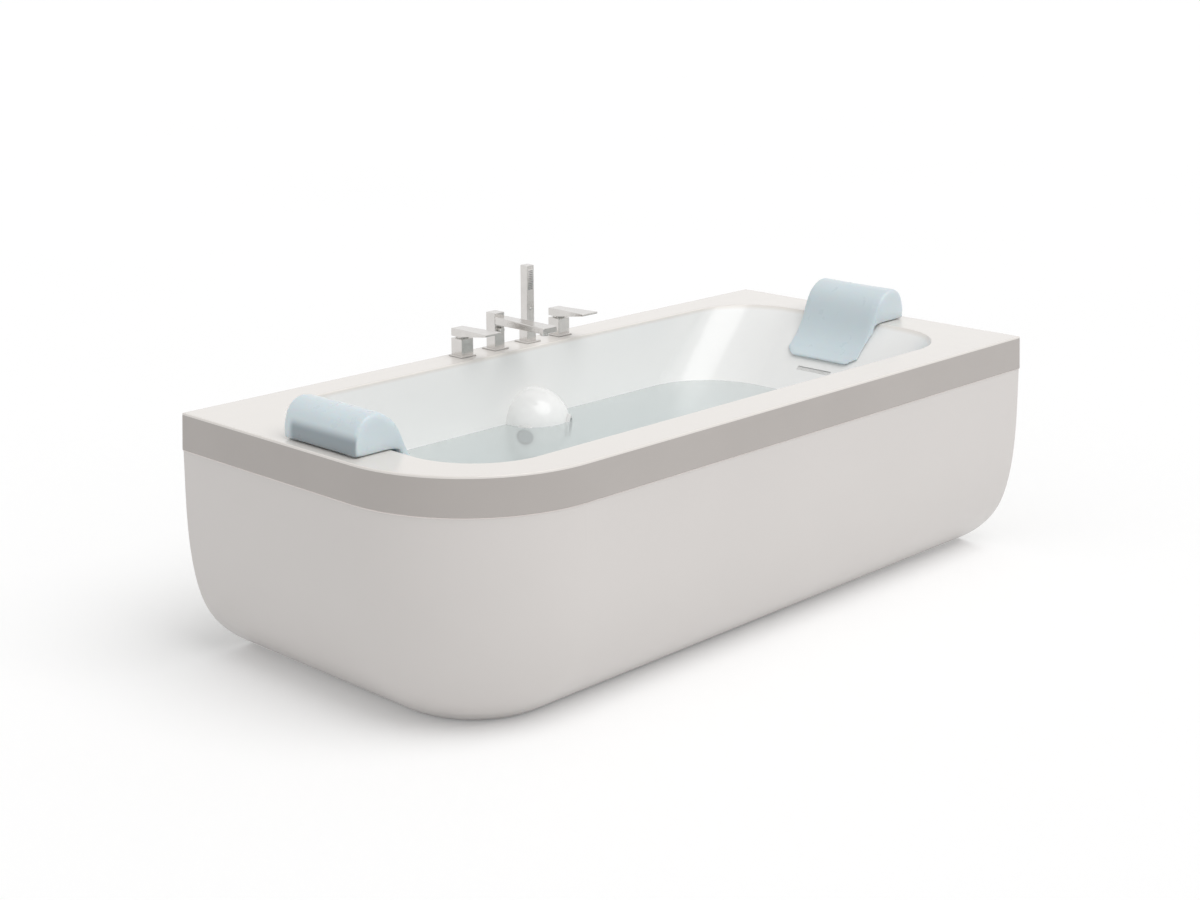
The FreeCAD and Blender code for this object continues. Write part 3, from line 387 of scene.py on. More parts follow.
def screw(at, direction, head=0.004):
    """A pan head screw with a cross recess."""
    long, thin = head * 0.55, head * 0.12
    cross = [block((-x, -y, head * 0.25), (x, y, head * 0.62), head * 0.05, 1)
             for x, y in ((long, thin), (thin, long))]
    for bar in cross:
        bar.transform(facing(direction, at))
    dome = turned([(0.0, head * 0.6), (head * 0.5, head * 0.55), (head * 0.85, head * 0.35), (head, 0.0),
                   (head, -head * 0.3), (0.0, -head * 0.3)], direction, at, 16)
    return joined([dome, *cross])


def hexagon_bolt(at, direction, head=0.007):
    """A hexagon head on a washer."""
    washer = turned([(0.0, 0.0), (head * 1.35, 0.0), (head * 1.45, head * 0.08),
                     (head * 1.35, head * 0.2), (0.0, head * 0.2)], direction, at, 24)
    top = turned([(0.0, head * 0.2), (head, head * 0.2), (head, head * 0.75), (head * 0.9, head * 0.85),
                  (0.0, head * 0.85)], direction, at, 6)
    return joined([washer, top])


def clamp(at, direction, radius, width=0.009):
    """A worm drive clamp: a thin band with its screw housing."""
    half = width / 2
    band = turned([(radius, -half), (radius + 0.0009, -half), (radius + 0.0009, half), (radius, half)],
                  direction, at, 40)
    housing = block((radius - 0.001, -0.007, -half - 0.001),
                    (radius + 0.009, 0.007, half + 0.001), 0.0012)
    housing.transform(facing(direction, at))
    worm = turned([(0.0, -0.014), (0.0035, -0.014), (0.0035, 0.011), (0.0045, 0.011), (0.0045, 0.015),
                   (0.0, 0.015)], (0.0, 1.0, 0.0), (radius + 0.0045, 0.0, 0.0), 12)
    worm.transform(facing(direction, at))
    return joined([band, housing, worm])


def pushed(shape, edges, step):
    """Extrudes edges by a step, and gives the new points and the new far edges."""
    side = bmesh.ops.extrude_edge_only(shape, edges=edges)["geom"]
    reach = [item for item in side if isinstance(item, bmesh.types.BMVert)]
    bmesh.ops.translate(shape, vec=step, verts=reach)
    return reach, [item for item in side if isinstance(item, bmesh.types.BMEdge)
                   and all(vertex in reach for vertex in item.verts)]


def outline_strip(section, corner):
    """A section in the XZ plane at the back left end, drawn along the tub's left end, its round corner
    and its front; corner is the middle of the round corner in plan."""
    shape = bmesh.new()
    start = CAD_HIGH.y
    points = [shape.verts.new((x, start, z)) for x, z in section]
    lines = [shape.edges.new(pair) for pair in zip(points, points[1:] + points[:1])]
    bmesh.ops.contextual_create(shape, geom=lines)
    bmesh.ops.reverse_faces(shape, faces=shape.faces)
    reach, ends = pushed(shape, lines, (0.0, corner[1] - start, 0.0))
    turn = bmesh.ops.spin(shape, geom=reach + ends, cent=(*corner, 0.0), axis=(0, 0, 1),
                          angle=math.pi / 2, steps=40, use_merge=False)["geom_last"]
    ends = [item for item in turn if isinstance(item, bmesh.types.BMEdge)]
    reach, ends = pushed(shape, ends, (CAD_HIGH.x - corner[0], 0.0, 0.0))
    bmesh.ops.contextual_create(shape, geom=ends)
    bmesh.ops.remove_doubles(shape, verts=shape.verts, dist=MERGE)
    bmesh.ops.recalc_face_normals(shape, faces=shape.faces)
    return shape


def cut_above(shape, height):
    """Cuts off what is above a height."""
    bmesh.ops.bisect_plane(shape, geom=[*shape.verts, *shape.edges, *shape.faces], dist=MERGE,
                           plane_co=(0, 0, height), plane_no=(0, 0, 1), clear_outer=True)


def kept_faces(shape, keep):
    """Leaves only the faces for which keep(face) is true."""
    gone = [face for face in shape.faces if not keep(face)]
    bmesh.ops.delete(shape, geom=gone, context="FACES")


def spread_from(shape, seed, fold):
    """The faces reached from a seed without crossing an outward edge sharper than fold."""
    found, waiting = {seed}, [seed]
    while waiting:
        for edge in waiting.pop().edges:
            if edge.is_convex and edge.calc_face_angle(0.0) > fold:
                continue
            for face in edge.link_faces:
                if face not in found:
                    found.add(face)
                    waiting.append(face)
    return found


# ---------------------------------------------------------------- operators
class BATHTUB_OT_finishes(Operator):
    """Make the finishes that several groups of pieces share"""

    bl_idname = "bathtub.finishes"
    bl_label = "Finishes"

    def execute(self, context):
        tones = context.scene.bathtub_colours
        for packed in list(bpy.data.materials):
            packed.name = PACKED + packed.name
        acrylic = finish("acrylic", tones.acrylic, 0.22, spread=0.012, cloud=3.0, smear=0.04,
                         smear_scale=9.0, grain=45.0, depth=0.00006, Coat_Weight=0.3,
                         Coat_Roughness=0.1, IOR=1.49)
        rim_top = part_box("basin_shell")[1].z
        tree = acrylic.node_tree
        # Painted shade: the top few millimetres of the acrylic take the rim's warmer, darker tone; the
        # darkening holds back the stronger light that the flat top catches.
        rim = soft_step(tree, axis_value(tree, "Z"), rim_top - 0.012, rim_top - 0.002)
        overlaid(acrylic, rim, tones.rim)
        finish("band", tones.band, 0.42, spread=0.02, cloud=4.0, grain=1400.0, depth=0.00003,
               Coat_Weight=0.15, Coat_Roughness=0.25)
        finish("panel", tones.panel, 0.34, spread=0.012, cloud=2.5, smear_scale=8.0, grain=60.0,
               depth=0.00005, Coat_Weight=0.25, Coat_Roughness=0.15)
        finish("chrome", tones.chrome, 0.2, spread=0.03, cloud=40.0, smear_scale=70.0, grain=90.0,
               depth=0.00001, Metallic=1.0)
        finish("frame_steel", (0.42, 0.44, 0.46), 0.45, spread=0.12, cloud=60.0, smear=0.12,
               smear_scale=90.0, grain=900.0, depth=0.00005, Metallic=0.85)
        finish("foot", (0.03, 0.03, 0.032), 0.7, spread=0.15, cloud=40.0, grain=1800.0,
               depth=0.0001)
        finish("steel_bright", (0.62, 0.62, 0.60), 0.28, spread=0.08, cloud=120.0, smear=0.1,
               smear_scale=200.0, grain=1200.0, depth=0.00002, Metallic=1.0)
        finish("brass", (0.72, 0.50, 0.20), 0.3, spread=0.12, cloud=70.0, smear=0.12,
               smear_scale=120.0, grain=700.0, depth=0.00003, Metallic=1.0)
        finish("motor", (0.10, 0.12, 0.15), 0.5, spread=0.1, cloud=30.0, smear=0.1, grain=1100.0,
               depth=0.00012, Metallic=0.2)
        finish("pump_black", (0.025, 0.026, 0.028), 0.42, spread=0.2, cloud=30.0, grain=1500.0,
               depth=0.00008)
        finish("pipe_white", (0.78, 0.78, 0.76), 0.33, spread=0.05, cloud=9.0, smear=0.1,
               grain=800.0, depth=0.00004)
        finish("jet_dark", tones.dark, 0.3, spread=0.2, cloud=60.0, smear=0.08, grain=1500.0,
               depth=0.00004)
        finish("grille", (0.74, 0.74, 0.73), 0.25, spread=0.04, cloud=30.0, grain=600.0,
               depth=0.00003)
        finish("hose", (0.55, 0.55, 0.55), 0.32, spread=0.25, cloud=900.0, smear=0.1, grain=1500.0,
               depth=0.0004, Metallic=0.9)
        finish("lead", (0.03, 0.03, 0.03), 0.5, spread=0.2, cloud=50.0, grain=900.0, depth=0.0001)
        gel = finish("gel", tones.gel, 0.28, spread=0.012, cloud=6.0, smear=0.008, grain=120.0,
                     depth=0.000006, Subsurface_Weight=0.15, Subsurface_Scale=0.01, Coat_Weight=0.2,
                     Coat_Roughness=0.15, Sheen_Weight=0.35, Sheen_Roughness=0.3, IOR=1.42)
        # Painted shade: a dark band low on the back of each headrest, for the weight inside and its shadow
        # seen through the gel.
        tree = gel.node_tree
        end = CAD_HIGH.x
        weight = 1.0
        for axis, absolute, start, stop in (("X", True, end - 0.050, end - 0.036),
                                            ("Z", False, rim_top + 0.052, rim_top + 0.030),
                                            ("Y", False, 0.108, 0.088), ("Y", False, -0.108, -0.1045)):
            weight = maths(tree, "MULTIPLY", weight,
                           soft_step(tree, axis_value(tree, axis, absolute), start, stop))
        overlaid(gel, weight, tones.weight)
        # Painted highlight: the pale, pinkish colour of the bead under the band is the light line along
        # that edge.
        finish("bead", (0.86, 0.80, 0.77), 0.3, spread=0.02, grain=600.0, depth=0.00003)
        finish("laminate", (0.66, 0.62, 0.50), 0.6, spread=0.16, cloud=45.0, smear=0.15,
               smear_scale=60.0, grain=160.0, depth=0.0012)
        finish("satin", tones.chrome, 0.24, spread=0.03, cloud=40.0, grain=600.0, depth=0.00002,
               Metallic=1.0)
        finish("silicone", (0.30, 0.30, 0.30), 0.55, spread=0.1, cloud=90.0, grain=900.0,
               depth=0.00003)
        finish("vane", (0.42, 0.44, 0.45), 0.3, spread=0.15, cloud=90.0, grain=900.0, depth=0.00003)
        finish("weld", (0.40, 0.38, 0.36), 0.4, spread=0.25, cloud=300.0, smear=0.12, grain=900.0,
               depth=0.0001, Metallic=0.9)
        for name in NODES:
            packed = NODES[name].material_slots[0].material.name
            dress(shared(packed.removeprefix(PACKED).split(".")[0]), name)
        return {"FINISHED"}


class BATHTUB_OT_studio(Operator):
    """Make the floor, the light and the camera"""

    bl_idname = "bathtub.studio"
    bl_label = "Studio"

    def execute(self, context):
        scene = context.scene
        studio = scene.bathtub_studio
        scene.view_settings.view_transform = "Standard"
        self.make_world(scene, studio)
        self.make_floor(scene)
        self.make_light(studio)
        self.make_camera(scene, studio)
        return {"FINISHED"}

    def make_world(self, scene, studio):
        """White for the camera and in reflections, and a dimmer even light for the rest."""
        world = bpy.data.worlds.new("studio")
        scene.world = world
        world.use_nodes = True
        tree = world.node_tree
        even = tree.nodes["Background"]
        even.inputs["Color"].default_value = (1.0, 1.0, 1.0, 1.0)
        even.inputs["Strength"].default_value = studio.ambient
        seen = tree.nodes.new("ShaderNodeBackground")
        seen.inputs["Color"].default_value = (1.0, 1.0, 1.0, 1.0)
        seen.inputs["Strength"].default_value = 1.0
        rays = tree.nodes.new("ShaderNodeLightPath").outputs
        bent = maths(tree, "MAXIMUM", rays["Is Glossy Ray"], rays["Is Transmission Ray"])
        mix = mixed(tree, maths(tree, "MAXIMUM", rays["Is Camera Ray"], bent), even, seen)
        tree.links.new(mix.outputs[0], tree.nodes["World Output"].inputs["Surface"])

    def make_floor(self, scene):
        """A wide pale floor that keeps the tub's soft shadow."""
        shape = bmesh.new()
        bmesh.ops.create_grid(shape, x_segments=4, y_segments=4, size=30.0)
        material = finish("floor", scene.bathtub_colours.floor, 0.85, spread=0.004, cloud=0.6,
                          smear=0.04, grain=300.0)
        self.lift(material.node_tree, scene.bathtub_studio.lift)
        meshed("studio_floor", shape, material)

    def lift(self, tree, amount):
        """Lifts the floor to white where the camera or a gloss sees it, and keeps its shadow."""
        rays = tree.nodes.new("ShaderNodeLightPath").outputs
        seen = maths(tree, "MAXIMUM", rays["Is Camera Ray"], rays["Is Glossy Ray"])
        shader = tree.nodes["Principled BSDF"].inputs
        shader["Emission Color"].default_value = (1.0, 1.0, 1.0, 1.0)
        shader["Specular IOR Level"].default_value = 0.1
        tree.links.new(maths(tree, "MULTIPLY", seen, amount), shader["Emission Strength"])

    def make_light(self, studio):
        """A soft key from above the front."""
        sun = bpy.data.lights.new("key", "SUN")
        sun.energy = studio.key
        sun.angle = math.radians(50.0)
        towards = Vector((0.08, -0.70, 1.2))
        linked("key", sun).rotation_euler = towards.to_track_quat("Z", "Y").to_euler()

    def make_camera(self, scene, studio):
        """The camera at the photograph's place."""
        lens = bpy.data.cameras.new("camera")
        lens.sensor_width = 36.0
        lens.lens = studio.lens
        lens.shift_y = studio.shift
        camera = linked("camera", lens)
        ahead = Vector((math.sin(studio.turn) * math.cos(studio.dip),
                        math.cos(studio.turn) * math.cos(studio.dip), -math.sin(studio.dip)))
        right = Vector((math.cos(studio.turn), -math.sin(studio.turn), 0.0))
        up = right.cross(ahead)
        right, up = (right * math.cos(studio.roll) + up * math.sin(studio.roll),
                     up * math.cos(studio.roll) - right * math.sin(studio.roll))
        axes = Matrix((right, up, -ahead)).transposed().to_4x4()
        camera.matrix_world = Matrix.Translation(studio.camera) @ axes
        scene.camera = camera


class BATHTUB_OT_tub(Operator):
    """Make the pale bead under the band, whose paleness is a painted highlight, and the laminate behind the
    basin
    """

    bl_idname = "bathtub.tub"
    bl_label = "Tub"

    def execute(self, context):
        sizes = context.scene.bathtub_sizes
        self.make_highlight_bead(sizes)
        self.make_laminate(sizes)
        return {"FINISHED"}

    def make_highlight_bead(self, sizes):
        """A bead that closes the joint between the band and the apron; its pale colour is a painted
        highlight, the light line along that edge.
        """
        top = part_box("rim_band")[0].z
        low = CAD_LOW.x
        high, deep = sizes.bead / 2, sizes.bead * 0.45
        section = [(low + 0.012, top - sizes.bead), (low + deep * 1.3, top - sizes.bead),
                   (low + deep, top - high * 1.5), (low + deep * 0.7, top - high),
                   (low + deep, top - high * 0.5), (low + deep * 1.3, top), (low + 0.012, top)]
        corner = (CAD_LOW.x + sizes.corner, CAD_LOW.y + sizes.corner)
        piece("joint_bead", outline_strip(section, corner), "tub", "panel", "bead")

    def make_laminate(self, sizes):
        """The rough glass fibre laminate on the outside of the basin's bowl."""
        shape = copied("basin_shell")
        bare, lifted = 0.02, 0.0004  # metres: left bare under the rim's top, and off the acrylic
        cut_above(shape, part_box("basin_shell")[1].z - bare)
        shape.faces.ensure_lookup_table()
        lowest = min(shape.faces, key=lambda face: face.calc_center_median().z)
        outside = spread_from(shape, lowest, FOLD)
        kept_faces(shape, lambda face: face in outside)
        loose = [vertex for vertex in shape.verts if not vertex.link_faces]
        bmesh.ops.delete(shape, geom=loose, context="VERTS")
        for vertex in shape.verts:
            vertex.co += vertex.normal * lifted
        made = piece("laminate", shape, "tub", "acrylic", "laminate", sharp=60.0)
        wall = made.modifiers.new("wall", "SOLIDIFY")
        wall.thickness = sizes.laminate
        wall.offset = 1.0


class BATHTUB_OT_headrests(Operator):
    """Make the two gel headrests"""

    bl_idname = "bathtub.headrests"
    bl_label = "Headrests"

    def execute(self, context):
        sizes = context.scene.bathtub_sizes
        for side in ("left", "right"):
            node = "headrest_" + side
            shape = copied(node)
            bmesh.ops.recalc_face_normals(shape, faces=shape.faces)
            for vertex in shape.verts:
                vertex.co -= vertex.normal * sizes.pad_margin
            pad = piece("gel_pad_" + side, shape, node, "gel", sharp=180.0)
            self.voxels(pad, sizes.pad_voxel)
            self.swell(context, pad, sizes.pad_cap)
            self.soften(pad, sizes.pad_passes)
            smooth = pad.modifiers.new("smooth", "SUBSURF")
            smooth.levels = smooth.render_levels = 1
            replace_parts(pad, node)
        return {"FINISHED"}

    def take(self, pad):
        """Applies the pad's modifiers."""
        graph = bpy.context.evaluated_depsgraph_get()
        mesh = bpy.data.meshes.new_from_object(pad.evaluated_get(graph))
        pad.modifiers.clear()
        pad.data = mesh
        mesh.polygons.foreach_set("use_smooth", [True] * len(mesh.polygons))

    def voxels(self, pad, size):
        """Gives the pad even faces."""
        remesh = pad.modifiers.new("voxels", "REMESH")
        remesh.mode = "VOXEL"
        remesh.voxel_size = size
        self.take(pad)

    def swell(self, context, pad, cap):
        """Fills the pad by a short cloth simulation and holds each point within cap of its place."""
        before = [vertex.co.copy() for vertex in pad.data.vertices]
        cloth = pad.modifiers.new("fill", "CLOTH")
        cloth.settings.use_pressure = True
        cloth.settings.uniform_pressure_force = 4.0
        cloth.settings.effector_weights.gravity = 0.0
        for frame_number in range(1, 21):
            context.scene.frame_set(frame_number)
        self.take(pad)
        context.scene.frame_set(1)
        for vertex, start in zip(pad.data.vertices, before):
            step = vertex.co - start
            vertex.co = start + step.normalized() * min(step.length, cap)

    def soften(self, pad, passes):
        """Rounds the last steps of the voxels."""
        shape = bmesh.new()
        shape.from_mesh(pad.data)
        for _ in range(passes):
            bmesh.ops.smooth_vert(shape, verts=shape.verts, factor=0.5, use_axis_x=True, use_axis_y=True,
                                  use_axis_z=True)
        shape.to_mesh(pad.data)
        shape.free()


class BATHTUB_OT_mixer(Operator):
    """Make the mixer's gaskets, black as the shadow line under its plates (painted shade), its aerator,
    plugs and seals, and the face of the hand shower
    """

    bl_idname = "bathtub.mixer"
    bl_label = "Mixer"

    def execute(self, context):
        sizes = context.scene.bathtub_sizes
        self.make_shadow_gaskets()
        self.make_aerator()
        self.make_shower_face(sizes)
        self.make_lever_details()
        return {"FINISHED"}

    def make_shadow_gaskets(self):
        """A thin gasket under each square plate, painted black as the shadow line beneath the plate
        (painted shade).
        """
        low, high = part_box("base_plates")
        half = (high.y - low.y) / 2
        y = (low.y + high.y) / 2
        reach, sunk = half + 0.0006, 0.0004
        centres = [low.x + half, middle("spout_body").x, middle("shower_holder").x, high.x - half]
        parts = [block((x - reach, y - reach, low.z - sunk),
                       (x + reach, y + reach, low.z + 0.0006), 0.0004, 1) for x in centres]
        # Painted shade: the black gaskets stand in for the shadow line under the plates.
        piece("plate_gaskets", joined(parts), "tub", "pump_black")

    def make_aerator(self):
        """The ring and mesh of the spout's outlet."""
        outlet_height = 0.630
        mesh_radius, pitch, wire = 0.0084, 0.0022, 0.0003
        at = Vector((middle("spout_body").x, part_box("spout_body")[0].y + 0.020, outlet_height))
        bottom, top = at.z + 0.0002, at.z + 0.0011
        ring = turned([(0.0082, -0.0004), (0.0088, -0.0012), (0.0104, -0.0012), (0.0110, -0.0004),
                       (0.0110, 0.0012), (0.0082, 0.0012)], (0, 0, 1), at, 40)
        bars = []
        for k in range(-3, 4):
            half = math.sqrt(mesh_radius ** 2 - (k * pitch) ** 2)
            x, y = at.x + k * pitch, at.y + k * pitch
            bars.append(block((at.x - half, y - wire, bottom), (at.x + half, y + wire, top), 0.0001, 1))
            bars.append(block((x - wire, at.y - half, bottom), (x + wire, at.y + half, top), 0.0001, 1))
        piece("spout_aerator", joined([ring, *bars]), "tub", "steel_bright")

    def make_shower_face(self, sizes):
        """Soft nozzles on a recessed strip near the top of the hand shower, and its button."""
        low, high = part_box("shower_handset")
        x = (low.x + high.x) / 2
        top = high.z - 0.010
        rows, pitch, across = sizes.nozzle_rows, sizes.nozzle_pitch, 0.0052
        strip = block((x - 0.0085, low.y - 0.0004, top - rows * pitch - 0.002),
                      (x + 0.0085, low.y + 0.0012, top + 0.001), 0.0005)
        piece("shower_face", strip, "hand_shower", "chrome", "satin")
        nozzles = []
        for row in range(rows):
            for column in (-1, 0, 1):
                at = (x + column * across, low.y - 0.0004, top - 0.004 - row * pitch)
                nozzles.append(turned([(0.0, 0.0019), (0.0007, 0.0019), (0.0012, 0.0014), (0.0016, 0.0),
                                       (0.0, 0.0)], (0, -1, 0), at, 12))
        piece("shower_nozzles", joined(nozzles), "hand_shower", "jet_dark", "silicone")
        button = turned([(0.0, 0.0016), (0.0028, 0.0014), (0.0034, 0.0008), (0.0036, -0.0005),
                         (0.0, -0.0005)], (0, -1, 0), (x, low.y, low.z + 0.072), 28)
        piece("shower_button", button, "hand_shower", "steel_bright")

    def make_lever_details(self):
        """A plug over the grub screw at the back of each lever and a seal at each neck."""
        for side in ("left", "right"):
            low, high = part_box(side + "_lever")
            x = (low.x + high.x) / 2
            plug = turned([(0.0, 0.0007), (0.0022, 0.0007), (0.0027, 0.0), (0.0027, -0.001),
                           (0.0, -0.001)], (0, 1, 0), (x, high.y, high.z - 0.009), 20)
            piece(side + "_lever_plug", plug, side + "_lever", "steel_bright")
            body = side + "_valve_body"
            neck = (x, middle(body).y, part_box(body)[1].z)
            seal = turned([(0.0145, -0.0003), (0.0165, -0.0003), (0.0165, 0.0008),
                           (0.0150, 0.0016), (0.0145, 0.0016)], (0, 0, 1), neck, 40)
            piece(side + "_valve_seal", seal, "tub", "steel_bright")


class BATHTUB_OT_jets(Operator):
    """Make the vanes of the jets"""

    bl_idname = "bathtub.jets"
    bl_label = "Jets"

    def execute(self, context):
        sizes = context.scene.bathtub_sizes
        for side in ("left", "right"):
            self.make_vanes(side, sizes)
        return {"FINISHED"}

    def make_vanes(self, side, sizes):
        """Curved bars across the face of a swivelling jet."""
        ball = middle("jet_nozzle_" + side)
        aim = (middle("jet_ring_" + side) - ball).normalized()
        radius = sizes.jet_ball + 0.0006
        pitch, half, deep, crown = 0.0052, 0.0009, 0.002, 0.0004
        section = ((-half, -deep), (half, -deep), (half, 0.0), (0.0, crown), (-half, 0.0))
        bars = []
        for k in range(-sizes.jet_vanes // 2 + 1, sizes.jet_vanes // 2 + 1):
            offset = k * pitch
            reach = math.sqrt(radius ** 2 - offset ** 2)
            span = math.asin(min(1.0, math.sqrt(max(0.0, sizes.jet_mouth ** 2 - offset ** 2)) / reach))
            bar = bmesh.new()
            points = [bar.verts.new((0.0, offset + y, reach + z)) for y, z in section]
            start = bmesh.ops.contextual_create(bar, geom=points)["faces"]
            bmesh.ops.rotate(bar, verts=points, cent=(0, 0, 0), matrix=Matrix.Rotation(-span, 3, "Y"))
            bmesh.ops.spin(bar, geom=start, cent=(0, 0, 0), axis=(0, 1, 0), angle=2 * span, steps=16,
                           use_merge=False)
            bmesh.ops.recalc_face_normals(bar, faces=bar.faces)
            bar.transform(facing(aim, ball))
            bars.append(bar)
        piece("jet_vanes_" + side, joined(bars), "jet_nozzle_" + side, "jet_dark", "vane")


class BATHTUB_OT_waste(Operator):
    """Make the rings of the drain and the cover of the overflow"""

    bl_idname = "bathtub.waste"
    bl_label = "Waste"

    def execute(self, context):
        at = self.top("drain_plug")
        groove = turned([(0.0195, -0.0004), (0.0205, 0.0005), (0.0225, 0.0005), (0.0235, -0.0004)],
                        (0, 0, 1), at, 48)
        piece("plug_ring", groove, "drain_plug", "chrome")
        seal = turned([(0.0355, -0.0032), (0.0378, -0.0032), (0.0378, -0.0022), (0.0365, -0.0014),
                       (0.0355, -0.0014)], (0, 0, 1), self.top("drain_flange"), 48)
        piece("drain_seal", seal, "tub", "foot", "silicone")
        self.make_overflow_cover()
        return {"FINISHED"}

    def top(self, node):
        """The middle of a CAD node's top."""
        at = middle(node)
        return (at.x, at.y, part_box(node)[1].z)

    def make_overflow_cover(self):
        """A ribbed cover that sits in the overflow slot, a little below the wall."""
        half, across, rib, ribs = 0.0527, 0.0057, 0.0017, 12
        inner = across - 0.0008
        parts = [block((-half, -across, -0.0105), (half, across, -0.0030), 0.0006)]
        for k in range(-ribs, ribs + 1):
            x = half * k / (ribs + 0.5)
            parts.append(block((x - rib, -inner, -0.0034), (x + rib, inner, -0.0016), 0.0004, 1))
        cover = joined(parts)
        along = Vector((0.0, 1.0, 0.0))
        axes = Matrix((along, SLOT_AIM.cross(along), SLOT_AIM)).transposed().to_4x4()
        cover.transform(Matrix.Translation((SLOT_X, middle("overflow_trim").y, SLOT_Z)) @ axes)
        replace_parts(piece("overflow_cover", cover, "tub", "grille"), "overflow_trim")


class BATHTUB_OT_frame(Operator):
    """Make the welds and bolts of the steel frame"""

    bl_idname = "bathtub.frame"
    bl_label = "Frame"

    def execute(self, context):
        self.make_welds()
        self.make_bolts()
        return {"FINISHED"}

    def make_welds(self):
        """Rippled beads round the foot of each post and along each cross rail."""
        seam = 0.030
        beads = []
        for end in ("front", "back"):
            for side in ("left", "right"):
                low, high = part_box("post_%s_%s" % (end, side))
                corner = {(x, y): (at_x, at_y, low.z) for x, at_x in enumerate((low.x, high.x))
                          for y, at_y in enumerate((low.y, high.y))}
                for start, stop in (((0, 0), (1, 0)), ((0, 1), (1, 1)), ((0, 0), (0, 1)), ((1, 0), (1, 1))):
                    beads += self.bead(corner[start], corner[stop])
        for side in ("left", "right"):
            low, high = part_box("cross_rail_" + side)
            for y in (low.y + seam, high.y - seam):
                beads += self.bead((low.x, y - seam, low.z), (low.x, y, low.z))
                beads += self.bead((high.x, y - seam, low.z), (high.x, y, low.z))
        piece("frame_welds", joined(beads), "tub", "frame_steel", "weld")

    def bead(self, start, stop):
        """A row of small overlapping drops."""
        start, stop = Vector(start), Vector(stop)
        pitch, radius = 0.0022, 0.0021
        steps = max(2, round((stop - start).length / pitch))
        drops = []
        for k in range(steps + 1):
            drop = bmesh.new()
            bmesh.ops.create_icosphere(drop, subdivisions=1, radius=radius)
            bmesh.ops.translate(drop, vec=start.lerp(stop, k / steps), verts=drop.verts)
            drops.append(drop)
        return drops

    def make_bolts(self):
        """Bolts that hold the pump plate to the rails."""
        low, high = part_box("pump_base")
        end, side = 0.018, 0.015
        bolts = [hexagon_bolt((x, y, low.z), (0, 0, -1), 0.006)
                 for x in (low.x + end, high.x - end) for y in (low.y + side, high.y - side)]
        piece("frame_bolts", joined(bolts), "tub", "steel_bright")


class BATHTUB_OT_pump(Operator):
    """Make the clamps, screws and covers of the pump and its pipes"""

    bl_idname = "bathtub.pump"
    bl_label = "Pump"

    def execute(self, context):
        self.make_pump_screws()
        self.make_fan_cover()
        self.make_control_lid()
        self.make_clamps()
        self.make_union_nuts()
        return {"FINISHED"}

    def axis(self):
        """Middle of the pump in X and Z."""
        at = middle("pump_shaft")
        return at.x, at.z

    def make_pump_screws(self):
        """Six screws round the flange between the wet end and the motor."""
        x, z = self.axis()
        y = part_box("pump_motor")[0].y - 0.010
        low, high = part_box("pump_wet_end")
        radius = (high.x - low.x) / 2 - 0.004
        screws = []
        for k in range(6):
            turn = math.tau * (k + 0.5) / 6
            at = (x + radius * math.cos(turn), y, z + radius * math.sin(turn))
            screws.append(hexagon_bolt(at, (0, -1, 0), 0.0032))
        piece("pump_screws", joined(screws), "tub", "steel_bright")

    def make_fan_cover(self):
        """The slotted cover of the fan at the motor's end."""
        x, z = self.axis()
        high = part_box("pump_motor")[1].y
        start, wide, thick = (x, high - 0.001, z), 0.0025, 0.0030
        rings = [turned([(radius, 0.0), (radius + wide, 0.0), (radius + wide, thick), (radius, thick)],
                        (0, 1, 0), start, 48) for radius in (0.012, 0.021, 0.030, 0.039, 0.048)]
        spokes = []
        for k in range(6):
            spoke = block((0.010, -0.0015, -0.0002), (0.0505, 0.0015, 0.0024), 0.0004, 1)
            spoke.transform(facing((0, 1, 0), start) @ Matrix.Rotation(math.tau * k / 6, 4, "Z"))
            spokes.append(spoke)
        rim = turned([(0.0555, -0.004), (0.0655, -0.004), (0.0660, 0.0), (0.0640, 0.0026),
                      (0.0565, 0.0030), (0.0555, 0.0020)], (0, 1, 0), (x, high, z), 64)
        piece("fan_cover", joined([rim, *rings, *spokes]), "tub", "pump_black")

    def make_control_lid(self):
        """A lid with rounded corners and four screws on the control box."""
        low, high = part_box("control_box")
        low = Vector((low.x, low.y, low.z + 0.004))
        edge, corner, margin, pitch = 0.003, 0.012, 0.030, 0.009
        lid = block((low.x + edge, high.y - 0.0006, low.z + edge),
                    (high.x - edge, high.y + 0.0028, high.z - edge), 0.0014)
        screws = [screw((x, high.y + 0.0026, z), (0, 1, 0), 0.0030)
                  for x in (low.x + corner, high.x - corner) for z in (low.z + corner, high.z - corner)]
        ribs = [block((low.x + margin, high.y + 0.0020, z),
                      (high.x - margin, high.y + 0.0042, z + 0.0022), 0.0008)
                for z in (low.z + margin + pitch * k for k in range(4))]
        piece("control_lid", joined([lid, *ribs]), "tub", "pump_black")
        piece("control_screws", joined(screws), "tub", "steel_bright")

    def make_clamps(self):
        """Worm drive clamps where the pipes meet the pump."""
        x, z = self.axis()
        low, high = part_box("pump_wet_end")
        radius = 0.0292  # a little more than the pipes'
        inlet = clamp((x, low.y + 0.008, z), (0, -1, 0), radius)
        y = (low.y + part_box("pump_motor")[0].y) / 2 + 0.001
        outlet = clamp((x, y, high.z - 0.008), (0, 0, 1), radius)
        piece("pipe_clamps", joined([inlet, outlet]), "tub", "steel_bright")

    def make_union_nuts(self):
        """Hexagon nuts on the valve tails, where the supplies join."""
        nuts = []
        for side in ("left", "right"):
            at = middle(side + "_valve_tail")
            at.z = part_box(side + "_valve_tail")[0].z + 0.034
            nuts.append(turned([(0.0118, 0.0), (0.0150, 0.0), (0.0158, 0.0012), (0.0158, 0.0098),
                                (0.0150, 0.011), (0.0118, 0.011)], (0, 0, 1), at, 6))
        piece("union_nuts", joined(nuts), "tub", "brass")


